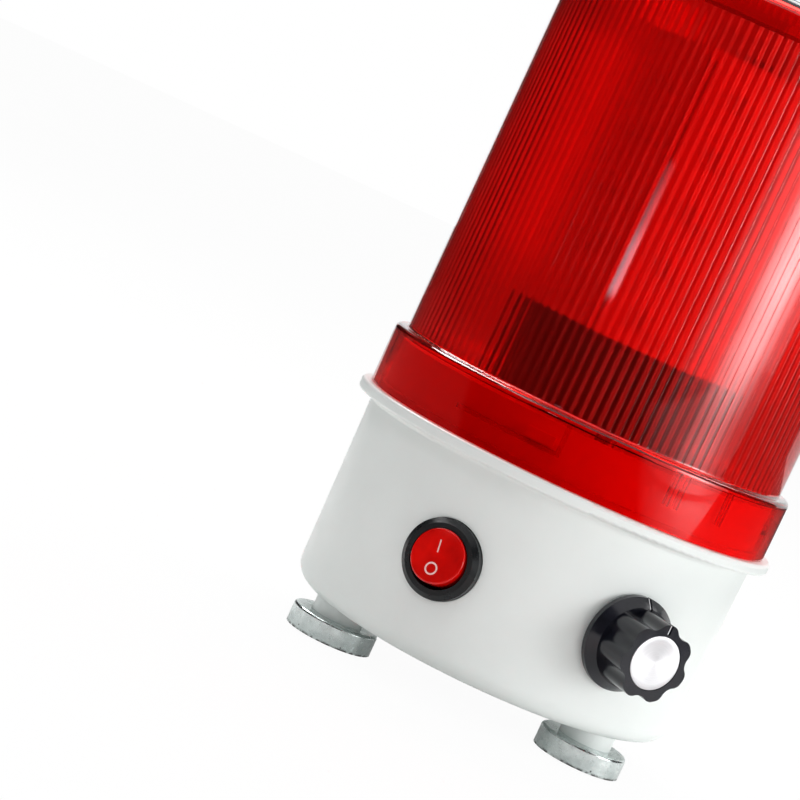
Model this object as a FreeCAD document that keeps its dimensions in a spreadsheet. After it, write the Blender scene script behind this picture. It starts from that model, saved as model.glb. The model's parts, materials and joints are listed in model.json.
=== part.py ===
import FreeCAD, Part
import math
import os
import re
import Sketcher

Vector = FreeCAD.Vector
Rotation = FreeCAD.Rotation
Placement = FreeCAD.Placement
UP = Vector(0, 0, 1)
NEAR = 0.01

# Warning light on magnetic feet: millimetres and degrees, +Z up, feet on Z = 0, lamp axis on Z.
# Azimuths count from the front (-Y) towards the right (+X).
DRIVING = {
    # Feet: pot magnets screwed to bosses of the base
    "foot_count": 3,
    "foot_azimuth": -73,
    "foot_inset": 13.1,
    "boss_dia": 15,
    "boss_height": 4.5,
    "magnet_dia": 25,
    "magnet_height": 6,
    "magnet_round": 0.8,
    "magnet_wall": 1.5,
    "magnet_roof": 1.5,
    "core_recess": 0.3,
    "foot_screw_dia": 4,
    "foot_screw_length": 14,
    "foot_head_dia": 8,
    "foot_head_height": 2,
    "nut_boss_dia": 9,
    "nut_boss_height": 4,
    # Base: moulded cup with a rim and a collar inside the lens skirt
    "base_dia": 115.8,
    "base_height": 58.5,
    "base_draft": 1,
    "base_wall": 2.9,
    "base_floor": 2.5,
    "base_round": 5.5,
    "rim_overhang": 4.6,
    "rim_thickness": 3.2,
    "rim_round": 0.9,
    "rim_fillet": 1.5,
    "collar_wall": 2.3,
    "collar_room": 1.1,
    "lug_angle": 8,
    "lug_height": 3,
    "post_count": 3,
    "post_inset": 9,
    "post_dia": 8,
    # Sounder holes in the underside and the rib that centres the sounder
    "sound_hole_dia": 3.5,
    "sound_ring_pitch": 7,
    "speaker_rib_height": 2,
    "speaker_rib_wall": 1.6,
    # Lens: fluted cover with a skirt over the collar
    "lens_height": 138.8,
    "lens_wall": 2.5,
    "shoulder_round": 6,
    "skirt_step": 3.3,
    "skirt_height": 17.4,
    "skirt_wall": 2,
    "skirt_round": 1.3,
    "skirt_fillet": 0.8,
    "seat_gap": 0.2,
    "flute_count": 130,
    "flute_depth": 0.14,
    "flute_land": 0.25,
    "flute_top_drop": 10,
    # Bayonet ribs inside the skirt: a ledge that ends in a stop, and three short guides
    "bayonet_count": 3,
    "bayonet_room": 1.7,
    "ledge_azimuth": -42,
    "ledge_angle": 30,
    "ledge_rise": 6.3,
    "ledge_height": 1.2,
    "ledge_reach": 1.2,
    "stop_angle": 1.3,
    "guide_1_azimuth": 19.4,
    "guide_2_azimuth": 22.4,
    "guide_3_azimuth": 38,
    "gasket_height": 1.8,
    # Chassis plate on the posts
    "plate_drop": 1,
    "plate_thickness": 2.5,
    "plate_screw_dia": 3,
    "plate_screw_length": 12,
    "plate_head_dia": 5.6,
    "plate_head_height": 2,
    "wire_hole_dia": 8,
    "wire_hole_radius": 18,
    # Six-sided light column
    "column_sides": 6,
    "column_width": 63,
    "block_height": 25.6,
    "block_wall": 2.5,
    "spigot_height": 4,
    "top_room": 12.2,
    "board_thickness": 1.6,
    "led_rows": 5,
    "led_size": 5,
    "led_height": 1.6,
    "cap_thickness": 3,
    "stud_dia": 4,
    "stud_nut_width": 7,
    "stud_nut_height": 3.2,
    # Round rocker switch and control knob, side by side on the front
    "control_rise": 27.5,
    "switch_azimuth": -27.4,
    "knob_azimuth": 27.4,
    "bezel_lip": 1.3,
    "bezel_height": 3.9,
    "bezel_edge": 2.6,
    "bezel_bevel": 1.4,
    "barrel_wall": 1.5,
    "barrel_depth": 15,
    "rocker_dia": 15,
    "rocker_gap": 0.7,
    "rocker_rise": 2.2,
    "rocker_depth": 3,
    "rocker_tilt": 9,
    "rocker_dish": 42,
    "rocker_hollow": 0.65,
    "rocker_round": 0.5,
    "pivot_depth": 3.4,
    "pivot_dia": 2.4,
    "pivot_reach": 0.7,
    "tab_width": 4.8,
    "tab_thickness": 0.8,
    "tab_length": 8,
    "tab_pitch": 5.5,
    # Control behind the knob
    "pot_dia": 16.5,
    "pot_depth": 8,
    "pot_lug_length": 6,
    "pot_lug_width": 1.5,
    "pot_lug_thickness": 0.6,
    "pot_lug_pitch": 5,
    "bushing_wall": 0.5,
    "bushing_proud": 3.4,
    "washer_dia": 11,
    "washer_thickness": 0.5,
    "pot_nut_width": 10,
    "pot_nut_height": 2,
    "shaft_dia": 6,
    "shaft_play": 0.05,
    # Knob: bevelled skirt, lobed grip, metal disc, pointer groove
    "knob_flare": 2.15,
    "knob_gap": 0.5,
    "knob_edge": 1.6,
    "knob_skirt_height": 4.2,
    "neck_step": 0.4,
    "knob_height": 15.2,
    "grip_dia": 21.6,
    "lobe_count": 7,
    "lobe_round": 2.6,
    "scallop_dia": 7,
    "scallop_depth": 1.5,
    "face_rim": 3.3,
    "disc_thickness": 0.8,
    "disc_dish": 0.25,
    "pointer_width": 0.9,
    "pointer_depth": 0.7,
    "knob_hollow_dia": 15,
    "knob_hollow_depth": 4.2,
    "shaft_grip": 9,
    "grub_dia": 3,
    "grub_length": 5,
    "grub_height": 8.2,
    # Electronics under the chassis plate
    "pcb_length": 64,
    "pcb_width": 44,
    "pcb_thickness": 1.6,
    "pcb_inset": 4,
    "standoff_dia": 6,
    "standoff_height": 8,
    "pcb_screw_dia": 2.5,
    "pcb_screw_length": 7,
    "pcb_head_dia": 4.5,
    "pcb_head_height": 1.8,
    "capacitor_dia": 10,
    "capacitor_height": 16,
    "inductor_dia": 12,
    "inductor_height": 8,
    "inductor_bore": 5,
    "terminal_length": 15,
    "terminal_width": 8,
    "terminal_height": 10,
    "chip_length": 10,
    "chip_width": 6,
    "chip_height": 1.7,
    # Sounder on the floor of the base, facing down
    "speaker_dia": 50,
    "speaker_flange": 3.5,
    "speaker_sheet": 0.8,
    "speaker_height": 11,
    "speaker_throat_dia": 26,
    "cone_depth": 6,
    "cone_sheet": 0.4,
    "cone_cap_dia": 14,
    "speaker_magnet_dia": 30,
    "speaker_magnet_height": 8,
    # Cable inlet at the back
    "inlet_azimuth": 180,
    "inlet_rise": 13.5,
    "inlet_dia": 10,
    "grommet_dia": 14,
    "grommet_flange": 1.5,
    "cable_dia": 5.2,
    # Fits
    "glue_gap": 0.15,
    "screw_play": 0.1,
    "slip_gap": 0.2,
    "running_gap": 0.3,
}

DERIVED = {
    "base_bottom": "magnet_height + boss_height",
    "floor_top": "base_bottom + base_floor",
    "base_bottom_dia": "base_dia - 2 * base_draft",
    "bore_dia": "base_bottom_dia - 2 * base_wall",
    "rim_dia": "base_dia + 2 * rim_overhang",
    "collar_dia": "bore_dia + 2 * collar_wall",
    "foot_radius": "base_bottom_dia / 2 - foot_inset",
    "post_radius": "bore_dia / 2 - post_inset",
    "skirt_bore": "collar_dia + 2 * bayonet_room",
    "skirt_dia": "skirt_bore + 2 * skirt_wall",
    "lens_dia": "skirt_dia - 2 * skirt_step",
    "lens_bore": "lens_dia - 2 * lens_wall",
    "flute_half_width": "(pi * lens_bore / flute_count - flute_land) / 2",
    "flute_radius": "(flute_half_width ^ 2 + flute_depth ^ 2) / (2 * flute_depth)",
    "rim_top": "base_bottom + base_height",
    "rim_bottom": "rim_top - rim_thickness",
    "skirt_bottom": "rim_top + seat_gap",
    "skirt_top": "skirt_bottom + skirt_height",
    "lens_top": "skirt_bottom + lens_height",
    "collar_top": "skirt_top - skirt_wall - collar_room",
    "plate_top": "collar_top - plate_drop",
    "plate_bottom": "plate_top - plate_thickness",
    "ledge_bottom": "skirt_bottom + ledge_rise",
    "ledge_top": "ledge_bottom + ledge_height",
    "block_top": "plate_top + block_height",
    "cap_top": "lens_top - lens_wall - top_room - slip_gap - stud_nut_height",
    "board_top": "cap_top - cap_thickness",
    "board_height": "board_top - block_top",
    "led_pitch": "board_height / led_rows",
    "column_flat": "column_width / 2 * cos(180 / column_sides)",
    "board_back": "column_flat - board_thickness",
    "board_width": "2 * board_back * tan(180 / column_sides) - slip_gap",
    "wall_slope": "base_draft / (rim_bottom - base_bottom)",
    "control_height": "base_bottom + control_rise",
    "inlet_height": "base_bottom + inlet_rise",
    "opening_dia": "rocker_dia + 2 * rocker_gap",
    "barrel_dia": "opening_dia + 2 * barrel_wall",
    "bezel_dia": "barrel_dia + 2 * bezel_lip",
    "bushing_dia": "shaft_dia + 2 * bushing_wall",
    "knob_neck_dia": "grip_dia + 2 * neck_step",
    "knob_dia": "knob_neck_dia + 2 * knob_flare",
    "disc_dia": "grip_dia - 2 * face_rim",
    "wall_at_axis": "base_bottom_dia / 2 + wall_slope * (control_height - base_bottom)",
    "bezel_seat": "sqrt((wall_at_axis - wall_slope * bezel_dia / 2) ^ 2 - (bezel_dia / 2) ^ 2)",
    "bezel_face": "bezel_seat + bezel_height",
    "pivot_radius": "bezel_face - pivot_depth",
    "barrel_back": "bezel_seat - barrel_depth",
    "washer_seat": "sqrt((wall_at_axis - wall_slope * washer_dia / 2) ^ 2 - (washer_dia / 2) ^ 2)",
    "nut_seat": "washer_seat + washer_thickness",
    "pot_front": "sqrt((bore_dia / 2) ^ 2 - (pot_dia / 2) ^ 2)",
    "pot_back": "pot_front - pot_depth",
    "knob_base": "wall_at_axis + wall_slope * knob_dia / 2 + knob_gap",
    "knob_face": "knob_base + knob_height",
    "knob_neck": "knob_base + knob_skirt_height",
    "hollow_end": "knob_base + knob_hollow_depth",
    "shaft_end": "hollow_end + shaft_grip",
    "pcb_top": "plate_bottom - standoff_height",
    "pcb_bottom": "pcb_top - pcb_thickness",
    "inlet_wall": "base_bottom_dia / 2 + wall_slope * (inlet_height - grommet_dia / 2 - base_bottom)",
    "inlet_seat": "sqrt(inlet_wall ^ 2 - (grommet_dia / 2) ^ 2)",
    "inlet_back": "sqrt((bore_dia / 2) ^ 2 - (grommet_dia / 2) ^ 2)",
    "speaker_back": "floor_top + speaker_height",
    "cone_edge": "speaker_dia / 2 - speaker_flange",
    "cone_seat": "floor_top + speaker_sheet + cone_sheet",
}

doc = FreeCAD.newDocument("warning_light")
sizes = doc.addObject("Spreadsheet::Sheet", "sizes")
NAMES = list(DRIVING) + list(DERIVED)
CONTENTS = [str(number) for number in DRIVING.values()] + ["=" + formula for formula in DERIVED.values()]
for row, (name, content) in enumerate(zip(NAMES, CONTENTS), start=1):
    sizes.set(f"A{row}", name)
    sizes.set(f"B{row}", content)
    sizes.setAlias(f"B{row}", name)
doc.recompute()

nodes = []


def cell(expression):
    """Puts the sheet's name before each of its aliases."""
    return re.sub(r"[A-Za-z_]\w*", lambda m: "sizes." + m[0] if m[0] in NAMES else m[0], expression)


def value(expression):
    return float(sizes.evalExpression(cell(expression)))


def bind(thing, prop, expression):
    thing.setExpression(prop, cell(expression))


def node(label, kind="PartDesign::Body"):
    thing = doc.addObject(kind, label)
    thing.Label = label
    nodes.append(thing)
    return thing


def loose_body(label):
    """A body that goes into a group of like pieces."""
    thing = doc.addObject("PartDesign::Body", label)
    thing.Label = label
    return thing


def group(label, members):
    """Like pieces that share one node, each a solid of its own."""
    thing = node(label, "Part::Compound")
    thing.Links = members
    return thing


def outward(azimuth, height):
    """Frame of a control: X to its right, Y up, Z outward from the lamp axis."""
    turn = Rotation(UP, value(azimuth)) * Rotation(Vector(1, 0, 0), 90)
    return Placement(Vector(0, 0, value(height)), turn)


def around(azimuth, radius, height):
    """Frame at a radius from the lamp axis, its Y away from the axis's front side."""
    turn = Rotation(UP, azimuth)
    return Placement(turn.multVec(Vector(0, -radius, height)), turn)


def sketch_on(body, name, role="XZ_Plane", lift="0", turn="0"):
    """A sketch on an origin plane, turned about its upright axis and lifted along its normal."""
    plane = next(feature for feature in body.Origin.OriginFeatures if feature.Role == role)
    sketch = body.newObject("Sketcher::SketchObject", name)
    sketch.AttachmentSupport = [(plane, "")]
    sketch.MapMode = "FlatFace"
    sketch.AttachmentOffset = Placement(Vector(), Rotation(Vector(0, 1, 0), value(turn)))
    bind(sketch, "AttachmentOffset.Base.x", f"({lift}) * sin({turn})")
    bind(sketch, "AttachmentOffset.Base.z", f"({lift}) * cos({turn})")
    if turn != "0":
        bind(sketch, "AttachmentOffset.Rotation.Angle", turn)
    return sketch


def pin_point(sketch, geometry, position, x, y):
    """Holds a point of the sketch at a place given by the sheet."""
    for axis, expression in (("X", x), ("Y", y)):
        rule = Sketcher.Constraint("Distance" + axis, -1, 1, geometry, position, value(expression))
        index = sketch.addConstraint(rule)
        sketch.renameConstraint(index, f"at_{axis}_{geometry}")
        bind(sketch, f"Constraints.at_{axis}_{geometry}", expression)


def polygon(sketch, corners):
    first = sketch.GeometryCount
    spots = [Vector(value(x), value(y), 0) for x, y in corners]
    for start, end in zip(spots, spots[1:] + spots[:1]):
        sketch.addGeometry(Part.LineSegment(start, end))
    for index, (x, y) in enumerate(corners):
        after = (index + 1) % len(corners)
        sketch.addConstraint(Sketcher.Constraint("Coincident", first + index, 2, first + after, 1))
        pin_point(sketch, first + index, 1, x, y)


def circle(sketch, x, y, diameter):
    index = sketch.addGeometry(Part.Circle(Vector(value(x), value(y), 0), UP, value(diameter) / 2))
    pin_point(sketch, index, 3, x, y)
    rule = sketch.addConstraint(Sketcher.Constraint("Diameter", index, value(diameter)))
    sketch.renameConstraint(rule, f"dia_{index}")
    bind(sketch, f"Constraints.dia_{index}", diameter)


def rectangle(sketch, left, bottom, right, top):
    polygon(sketch, [(left, bottom), (right, bottom), (right, top), (left, top)])


def regular(sketch, across_corners, sides, first_angle):
    corners = []
    for index in range(int(value(sides))):
        angle = f"({first_angle} + {index} * 360 / {sides})"
        corners.append((f"({across_corners}) / 2 * cos({angle})", f"({across_corners}) / 2 * sin({angle})"))
    polygon(sketch, corners)


def revolve(body, name, corners, angle="360", turn="0"):
    """Turns a section in the upright plane about the body's Z axis."""
    sketch = sketch_on(body, name + "_section", turn=turn)
    polygon(sketch, corners)
    feature = body.newObject("PartDesign::Revolution", name)
    feature.Profile = sketch
    feature.ReferenceAxis = (sketch, ["V_Axis"])
    feature.Angle = value(angle)
    bind(feature, "Angle", angle)
    return feature


def pad(body, name, sketch, length, down=False):
    feature = body.newObject("PartDesign::Pad", name)
    feature.Profile = sketch
    bind(feature, "Length", length)
    feature.Reversed = down
    return feature


def pocket(body, name, sketch, length, along_normal=True, both_ways=False):
    """Cuts along the sketch's normal, against it, or half to each side."""
    feature = body.newObject("PartDesign::Pocket", name)
    feature.Profile = sketch
    bind(feature, "Length", length)
    feature.Reversed = along_normal
    feature.Midplane = both_ways
    return feature


def polar(body, name, originals, count):
    """Repeats features about the body's Z axis."""
    axis = next(feature for feature in body.Origin.OriginFeatures if feature.Role == "Z_Axis")
    pattern = body.newObject("PartDesign::PolarPattern", name)
    pattern.Originals = originals
    pattern.Axis = (axis, [""])
    pattern.Angle = 360
    bind(pattern, "Occurrences", count)
    body.Tip = pattern
    return pattern


def round_edges(body, name, radius, wanted):
    """Rounds the edges of the body that the given test picks."""
    doc.recompute()
    base = body.Tip
    edges = [f"Edge{index}" for index, edge in enumerate(base.Shape.Edges, start=1) if wanted(edge)]
    fillet = body.newObject("PartDesign::Fillet", name)
    fillet.Base = (base, edges)
    bind(fillet, "Radius", radius)


def round_rings(body, name, radius, rings):
    """Rounds circular edges about the body's Z axis, each given by its radius and height."""
    spots = [(value(ring), value(height)) for ring, height in rings]

    def on_a_ring(edge):
        if not isinstance(edge.Curve, Part.Circle):
            return False
        here = (edge.Curve.Radius, edge.Curve.Center.z)
        return any(math.dist(here, spot) < NEAR for spot in spots)

    round_edges(body, name, radius, on_a_ring)


def turned(label, corners, make=node):
    """A piece that is one turned section."""
    body = make(label)
    revolve(body, label + "_turn", corners)
    return body


def ring_section(inner, outer, bottom, top):
    return [(inner, bottom), (outer, bottom), (outer, top), (inner, top)]


def foot_azimuths():
    count = int(value("foot_count"))
    return [value("foot_azimuth") + index * 360 / count for index in range(count)]


def make_base_housing():
    body = node("base_housing")
    revolve(body, "cup", [
        ("0", "base_bottom"),
        ("base_bottom_dia / 2", "base_bottom"),
        ("base_dia / 2", "rim_bottom"),
        ("rim_dia / 2", "rim_bottom"),
        ("rim_dia / 2", "rim_top"),
        ("collar_dia / 2", "rim_top"),
        ("collar_dia / 2", "collar_top"),
        ("bore_dia / 2", "collar_top"),
        ("bore_dia / 2", "floor_top"),
        ("0", "floor_top"),
    ])
    round_rings(body, "bottom_edge", "base_round", [("base_bottom_dia / 2", "base_bottom")])
    rim_edges = [("rim_dia / 2", "rim_bottom"), ("rim_dia / 2", "rim_top")]
    round_rings(body, "rim_edges", "rim_round", rim_edges)
    round_rings(body, "rim_root", "rim_fillet", [("base_dia / 2", "rim_bottom")])
    add_foot_bosses(body)
    add_posts(body)
    add_sound_holes(body)
    add_lugs(body)
    cut_control_holes(body)


def foot_spot():
    return "foot_radius * sin(foot_azimuth)", "-foot_radius * cos(foot_azimuth)"


def add_foot_bosses(body):
    outer = sketch_on(body, "boss_round", "XY_Plane", "magnet_height")
    circle(outer, *foot_spot(), "boss_dia")
    boss = pad(body, "boss", outer, "boss_height + base_floor / 2")
    inner = sketch_on(body, "nut_boss_round", "XY_Plane", "floor_top - base_floor / 2")
    circle(inner, *foot_spot(), "nut_boss_dia")
    nut_boss = pad(body, "nut_boss", inner, "nut_boss_height + base_floor / 2")
    polar(body, "bosses", [boss, nut_boss], "foot_count")
    bottom = sketch_on(body, "foot_hole_round", "XY_Plane", "magnet_height")
    circle(bottom, *foot_spot(), "foot_screw_dia + 2 * screw_play")
    hole = pocket(body, "foot_hole", bottom, "boss_height + base_floor + nut_boss_height")
    polar(body, "foot_holes", [hole], "foot_count")


def add_posts(body):
    foot = sketch_on(body, "post_round", "XY_Plane", "floor_top - base_floor / 2")
    circle(foot, "0", "-post_radius", "post_dia")
    post = pad(body, "post", foot, "plate_bottom - floor_top + base_floor / 2")
    polar(body, "posts", [post], "post_count")
    top = sketch_on(body, "post_hole_round", "XY_Plane", "plate_bottom")
    circle(top, "0", "-post_radius", "plate_screw_dia + 2 * screw_play")
    hole = pocket(body, "post_hole", top, "plate_screw_length", along_normal=False)
    polar(body, "post_holes", [hole], "post_count")


def add_sound_holes(body):
    revolve(body, "speaker_rib", ring_section(
        "speaker_dia / 2 + slip_gap", "speaker_dia / 2 + slip_gap + speaker_rib_wall",
        "floor_top - base_floor / 2", "floor_top + speaker_rib_height"))
    for ring, count in ((0, 1), (1, 6), (2, 12)):
        floor = sketch_on(body, f"sound_hole_round_{ring}", "XY_Plane", "floor_top")
        circle(floor, f"{ring} * sound_ring_pitch", "0", "sound_hole_dia")
        hole = pocket(body, f"sound_hole_{ring}", floor, "base_floor", along_normal=False)
        if count > 1:
            polar(body, f"sound_ring_{ring}", [hole], str(count))


def add_lugs(body):
    """Lugs on the collar, over the ledges of the lens and short of their stops."""
    start = "ledge_azimuth + ledge_angle - stop_angle - lug_angle"
    section = ring_section(
        "(bore_dia + collar_dia) / 4", "skirt_bore / 2 - running_gap",
        "ledge_top + running_gap", "ledge_top + running_gap + lug_height")
    lug = revolve(body, "lug", section, "lug_angle", f"{start} - 90")
    polar(body, "lugs", [lug], "bayonet_count")


def cut_control_holes(body):
    """Through each hole's flat the control sits square on the round wall."""
    for name, azimuth, height, seat, flat, hole in (
        ("switch", "switch_azimuth", "control_height", "bezel_seat", "bezel_dia", "barrel_dia"),
        ("pot", "knob_azimuth", "control_height", "washer_seat", "washer_dia", "bushing_dia"),
        ("inlet", "inlet_azimuth", "inlet_height", "inlet_seat", "grommet_dia", "inlet_dia"),
    ):
        face = sketch_on(body, name + "_flat_round", lift=seat, turn=azimuth)
        circle(face, "0", height, f"{flat} + 2 * slip_gap")
        pocket(body, name + "_flat", face, "rim_dia / 2")
        panel = sketch_on(body, name + "_hole_round", turn=azimuth)
        circle(panel, "0", height, f"{hole} + 2 * slip_gap")
        pocket(body, name + "_hole", panel, "rim_dia / 2")


def make_feet():
    hole = "foot_screw_dia / 2 + screw_play"
    cup_bore = "magnet_dia / 2 - magnet_wall"
    core_top = "magnet_height - magnet_roof"
    seat = "foot_head_dia / 2 + screw_play"
    screws = []
    for index, azimuth in enumerate(foot_azimuths(), start=1):
        spot = around(azimuth, value("foot_radius"), 0)
        cup = turned(f"magnet_cup_{index}", [
            (hole, core_top),
            (cup_bore, core_top),
            (cup_bore, "0"),
            ("magnet_dia / 2", "0"),
            ("magnet_dia / 2", "magnet_height"),
            (hole, "magnet_height"),
        ])
        round_rings(cup, f"cup_{index}_edge", "magnet_round", [("magnet_dia / 2", "magnet_height")])
        core = turned(f"magnet_core_{index}", [
            (seat, "core_recess"),
            (f"{cup_bore} - glue_gap", "core_recess"),
            (f"{cup_bore} - glue_gap", core_top),
            (hole, core_top),
            (hole, "core_recess + foot_head_height"),
        ])
        screw = turned(f"magnet_screw_{index}", [
            ("0", "core_recess"),
            ("foot_head_dia / 2", "core_recess"),
            ("foot_screw_dia / 2", "core_recess + foot_head_height"),
            ("foot_screw_dia / 2", "core_recess + foot_screw_length"),
            ("0", "core_recess + foot_screw_length"),
        ], loose_body)
        for piece in (cup, core, screw):
            piece.Placement = spot
        screws.append(screw)
    group("magnet_screws", screws)


def make_lens():
    body = node("lens")
    revolve(body, "shell", [
        ("skirt_bore / 2", "skirt_bottom"),
        ("skirt_dia / 2", "skirt_bottom"),
        ("skirt_dia / 2", "skirt_top"),
        ("lens_dia / 2", "skirt_top"),
        ("lens_dia / 2", "lens_top"),
        ("0", "lens_top"),
        ("0", "lens_top - lens_wall"),
        ("lens_bore / 2", "lens_top - lens_wall"),
        ("lens_bore / 2", "skirt_top - skirt_wall"),
        ("skirt_bore / 2", "skirt_top - skirt_wall"),
    ])
    round_rings(body, "shoulder", "shoulder_round", [("lens_dia / 2", "lens_top")])
    round_rings(body, "inner_shoulder", "shoulder_round - lens_wall",
                [("lens_bore / 2", "lens_top - lens_wall")])
    round_rings(body, "skirt_edge", "skirt_round", [("skirt_dia / 2", "skirt_top")])
    round_rings(body, "skirt_root", "skirt_fillet", [("lens_dia / 2", "skirt_top")])
    add_flutes(body)
    add_bayonet_ribs(body)


def add_flutes(body):
    """Upright round-bottomed flutes in the bore, from the skirt to the plain band under the top."""
    groove = sketch_on(body, "flute_section", "XY_Plane", "skirt_top")
    circle(groove, "lens_bore / 2 + flute_depth - flute_radius", "0", "2 * flute_radius")
    flute = pocket(body, "flute", groove, "lens_height - skirt_height - flute_top_drop")
    polar(body, "flutes", [flute], "flute_count")


def add_bayonet_ribs(body):
    inner = "skirt_bore / 2 - ledge_reach"
    outer = "skirt_bore / 2 + skirt_wall / 2"
    roof = "skirt_top - skirt_wall / 2"
    ledge_section = ring_section(inner, outer, "ledge_bottom", "ledge_top")
    ribs = [revolve(body, "ledge", ledge_section, "ledge_angle", "ledge_azimuth - 90")]
    rib_section = ring_section(inner, outer, "ledge_bottom", roof)
    for name, azimuth in (
        ("stop", "ledge_azimuth + ledge_angle"),
        ("guide_1", "guide_1_azimuth"),
        ("guide_2", "guide_2_azimuth"),
        ("guide_3", "guide_3_azimuth"),
    ):
        ribs.append(revolve(body, name, rib_section, "stop_angle", f"{azimuth} - 90"))
    polar(body, "bayonet_ribs", ribs, "bayonet_count")


def make_gasket():
    turned("lens_gasket", ring_section(
        "collar_dia / 2 + slip_gap", "skirt_bore / 2 - running_gap", "rim_top", "rim_top + gasket_height"))


def pan_screw(label, dia, length, head_dia, head_height, make=loose_body):
    """Screw with its head up and the underside of its head at Z = 0."""
    return turned(label, [
        ("0", f"-({length})"),
        (f"{dia} / 2", f"-({length})"),
        (f"{dia} / 2", "0"),
        (f"{head_dia} / 2", "0"),
        (f"{head_dia} / 2", head_height),
        ("0", head_height),
    ], make)


def pcb_corners():
    """Signs of the four corners of the driver board."""
    return [(x, y) for x in (-1, 1) for y in (-1, 1)]


def pcb_corner(x, y):
    """Place of a corner screw of the driver board, whose length runs from front to back."""
    return f"{x} * (pcb_width / 2 - pcb_inset)", f"{y} * (pcb_length / 2 - pcb_inset)"


def make_chassis_plate():
    body = node("chassis_plate")
    revolve(body, "disc", ring_section(
        "stud_dia / 2 + slip_gap", "bore_dia / 2 - slip_gap", "plate_bottom", "plate_top"))
    under = sketch_on(body, "standoff_rounds", "XY_Plane", "plate_bottom")
    for x, y in pcb_corners():
        circle(under, *pcb_corner(x, y), "standoff_dia")
    pad(body, "standoffs", under, "standoff_height", down=True)
    pilots = sketch_on(body, "pilot_rounds", "XY_Plane", "pcb_top")
    for x, y in pcb_corners():
        circle(pilots, *pcb_corner(x, y), "pcb_screw_dia + 2 * screw_play")
    pocket(body, "pilots", pilots, "pcb_screw_length - pcb_thickness + screw_play")
    top = sketch_on(body, "plate_hole_round", "XY_Plane", "plate_top")
    circle(top, "0", "-post_radius", "plate_screw_dia + 2 * slip_gap")
    hole = pocket(body, "plate_hole", top, "plate_thickness", along_normal=False)
    polar(body, "plate_holes", [hole], "post_count")
    wires = sketch_on(body, "wire_hole_round", "XY_Plane", "plate_top")
    circle(wires, "0", "wire_hole_radius", "wire_hole_dia")
    pocket(body, "wire_hole", wires, "plate_thickness", along_normal=False)
    screws = []
    count = int(value("post_count"))
    for index in range(count):
        screw = pan_screw(f"chassis_screw_{index + 1}", "plate_screw_dia", "plate_screw_length",
                          "plate_head_dia", "plate_head_height")
        screw.Placement = around(index * 360 / count, value("post_radius"), value("plate_top"))
        screws.append(screw)
    group("chassis_screws", screws)


def make_column():
    """Six boards round a stud, held between a black block and a cap, each with a spigot."""
    half = "180 / column_sides"
    spigot = f"2 * (board_back - slip_gap) / cos({half})"
    first = f"-90 + {half}"

    block = node("column_base")
    foot = sketch_on(block, "block_outline", "XY_Plane", "plate_top")
    regular(foot, "column_width", "column_sides", first)
    pad(block, "block", foot, "block_height")
    top = sketch_on(block, "spigot_outline", "XY_Plane", "block_top")
    regular(top, spigot, "column_sides", first)
    pad(block, "spigot", top, "spigot_height")
    hollow = sketch_on(block, "hollow_outline", "XY_Plane", "plate_top")
    regular(hollow, f"column_width - 2 * block_wall / cos({half})", "column_sides", first)
    pocket(block, "hollow", hollow, "block_height - block_wall")
    bore = sketch_on(block, "block_bore_round", "XY_Plane", "plate_top")
    circle(bore, "0", "0", "stud_dia + 2 * slip_gap")
    pocket(block, "block_bore", bore, "block_height + spigot_height")

    cap = node("column_cap")
    lid = sketch_on(cap, "cap_outline", "XY_Plane", "board_top")
    regular(lid, "column_width", "column_sides", first)
    pad(cap, "lid", lid, "cap_thickness")
    under = sketch_on(cap, "cap_spigot_outline", "XY_Plane", "board_top")
    regular(under, spigot, "column_sides", first)
    pad(cap, "cap_spigot", under, "spigot_height", down=True)
    hole = sketch_on(cap, "cap_bore_round", "XY_Plane", "cap_top")
    circle(hole, "0", "0", "stud_dia + 2 * slip_gap")
    pocket(cap, "cap_bore", hole, "cap_thickness + spigot_height", along_normal=False)

    stud = node("column_stud", "Part::Cylinder")
    bind(stud, "Radius", "stud_dia / 2")
    bind(stud, "Height", "cap_top - plate_bottom + 2 * stud_nut_height + 2 * slip_gap")
    stud.Placement.Base.z = value("plate_bottom - stud_nut_height - slip_gap")
    nuts = []
    for name, base in (("lower", "plate_bottom - stud_nut_height"), ("upper", "cap_top")):
        nut = hex_nut(f"column_nut_{name}", "stud_nut_width", "stud_dia + 2 * screw_play", base,
                      "stud_nut_height", loose_body)
        nuts.append(nut)
    group("column_nuts", nuts)


def hex_nut(label, width, bore, base, height, make=node):
    body = make(label)
    outline = sketch_on(body, label + "_outline", "XY_Plane", base)
    regular(outline, f"{width} / cos(30)", "6", "0")
    circle(outline, "0", "0", bore)
    pad(body, label + "_pad", outline, height)
    return body


def make_led_boards():
    sides = int(value("column_sides"))
    rows = int(value("led_rows"))
    middle = value("block_top + board_height / 2")
    flat = value("column_flat")
    leds = []
    for side in range(sides):
        turn = Placement(Vector(), Rotation(UP, side * 360 / sides))
        board = node(f"led_board_{side + 1}", "Part::Box")
        bind(board, "Length", "board_width")
        bind(board, "Width", "board_thickness")
        bind(board, "Height", "board_height")
        corner = Vector(-value("board_width") / 2, -flat, value("block_top"))
        board.Placement = turn * Placement(corner, Rotation())
        for row in range(rows):
            led = doc.addObject("Part::Box", f"led_{side + 1}_{row + 1}")
            bind(led, "Length", "led_size")
            bind(led, "Width", "led_height")
            bind(led, "Height", "led_size")
            height = middle + (row - (rows - 1) / 2) * value("led_pitch") - value("led_size") / 2
            corner = Vector(-value("led_size") / 2, -flat - value("led_height"), height)
            led.Placement = turn * Placement(corner, Rotation())
            leds.append(led)
    group("leds", leds)


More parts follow.
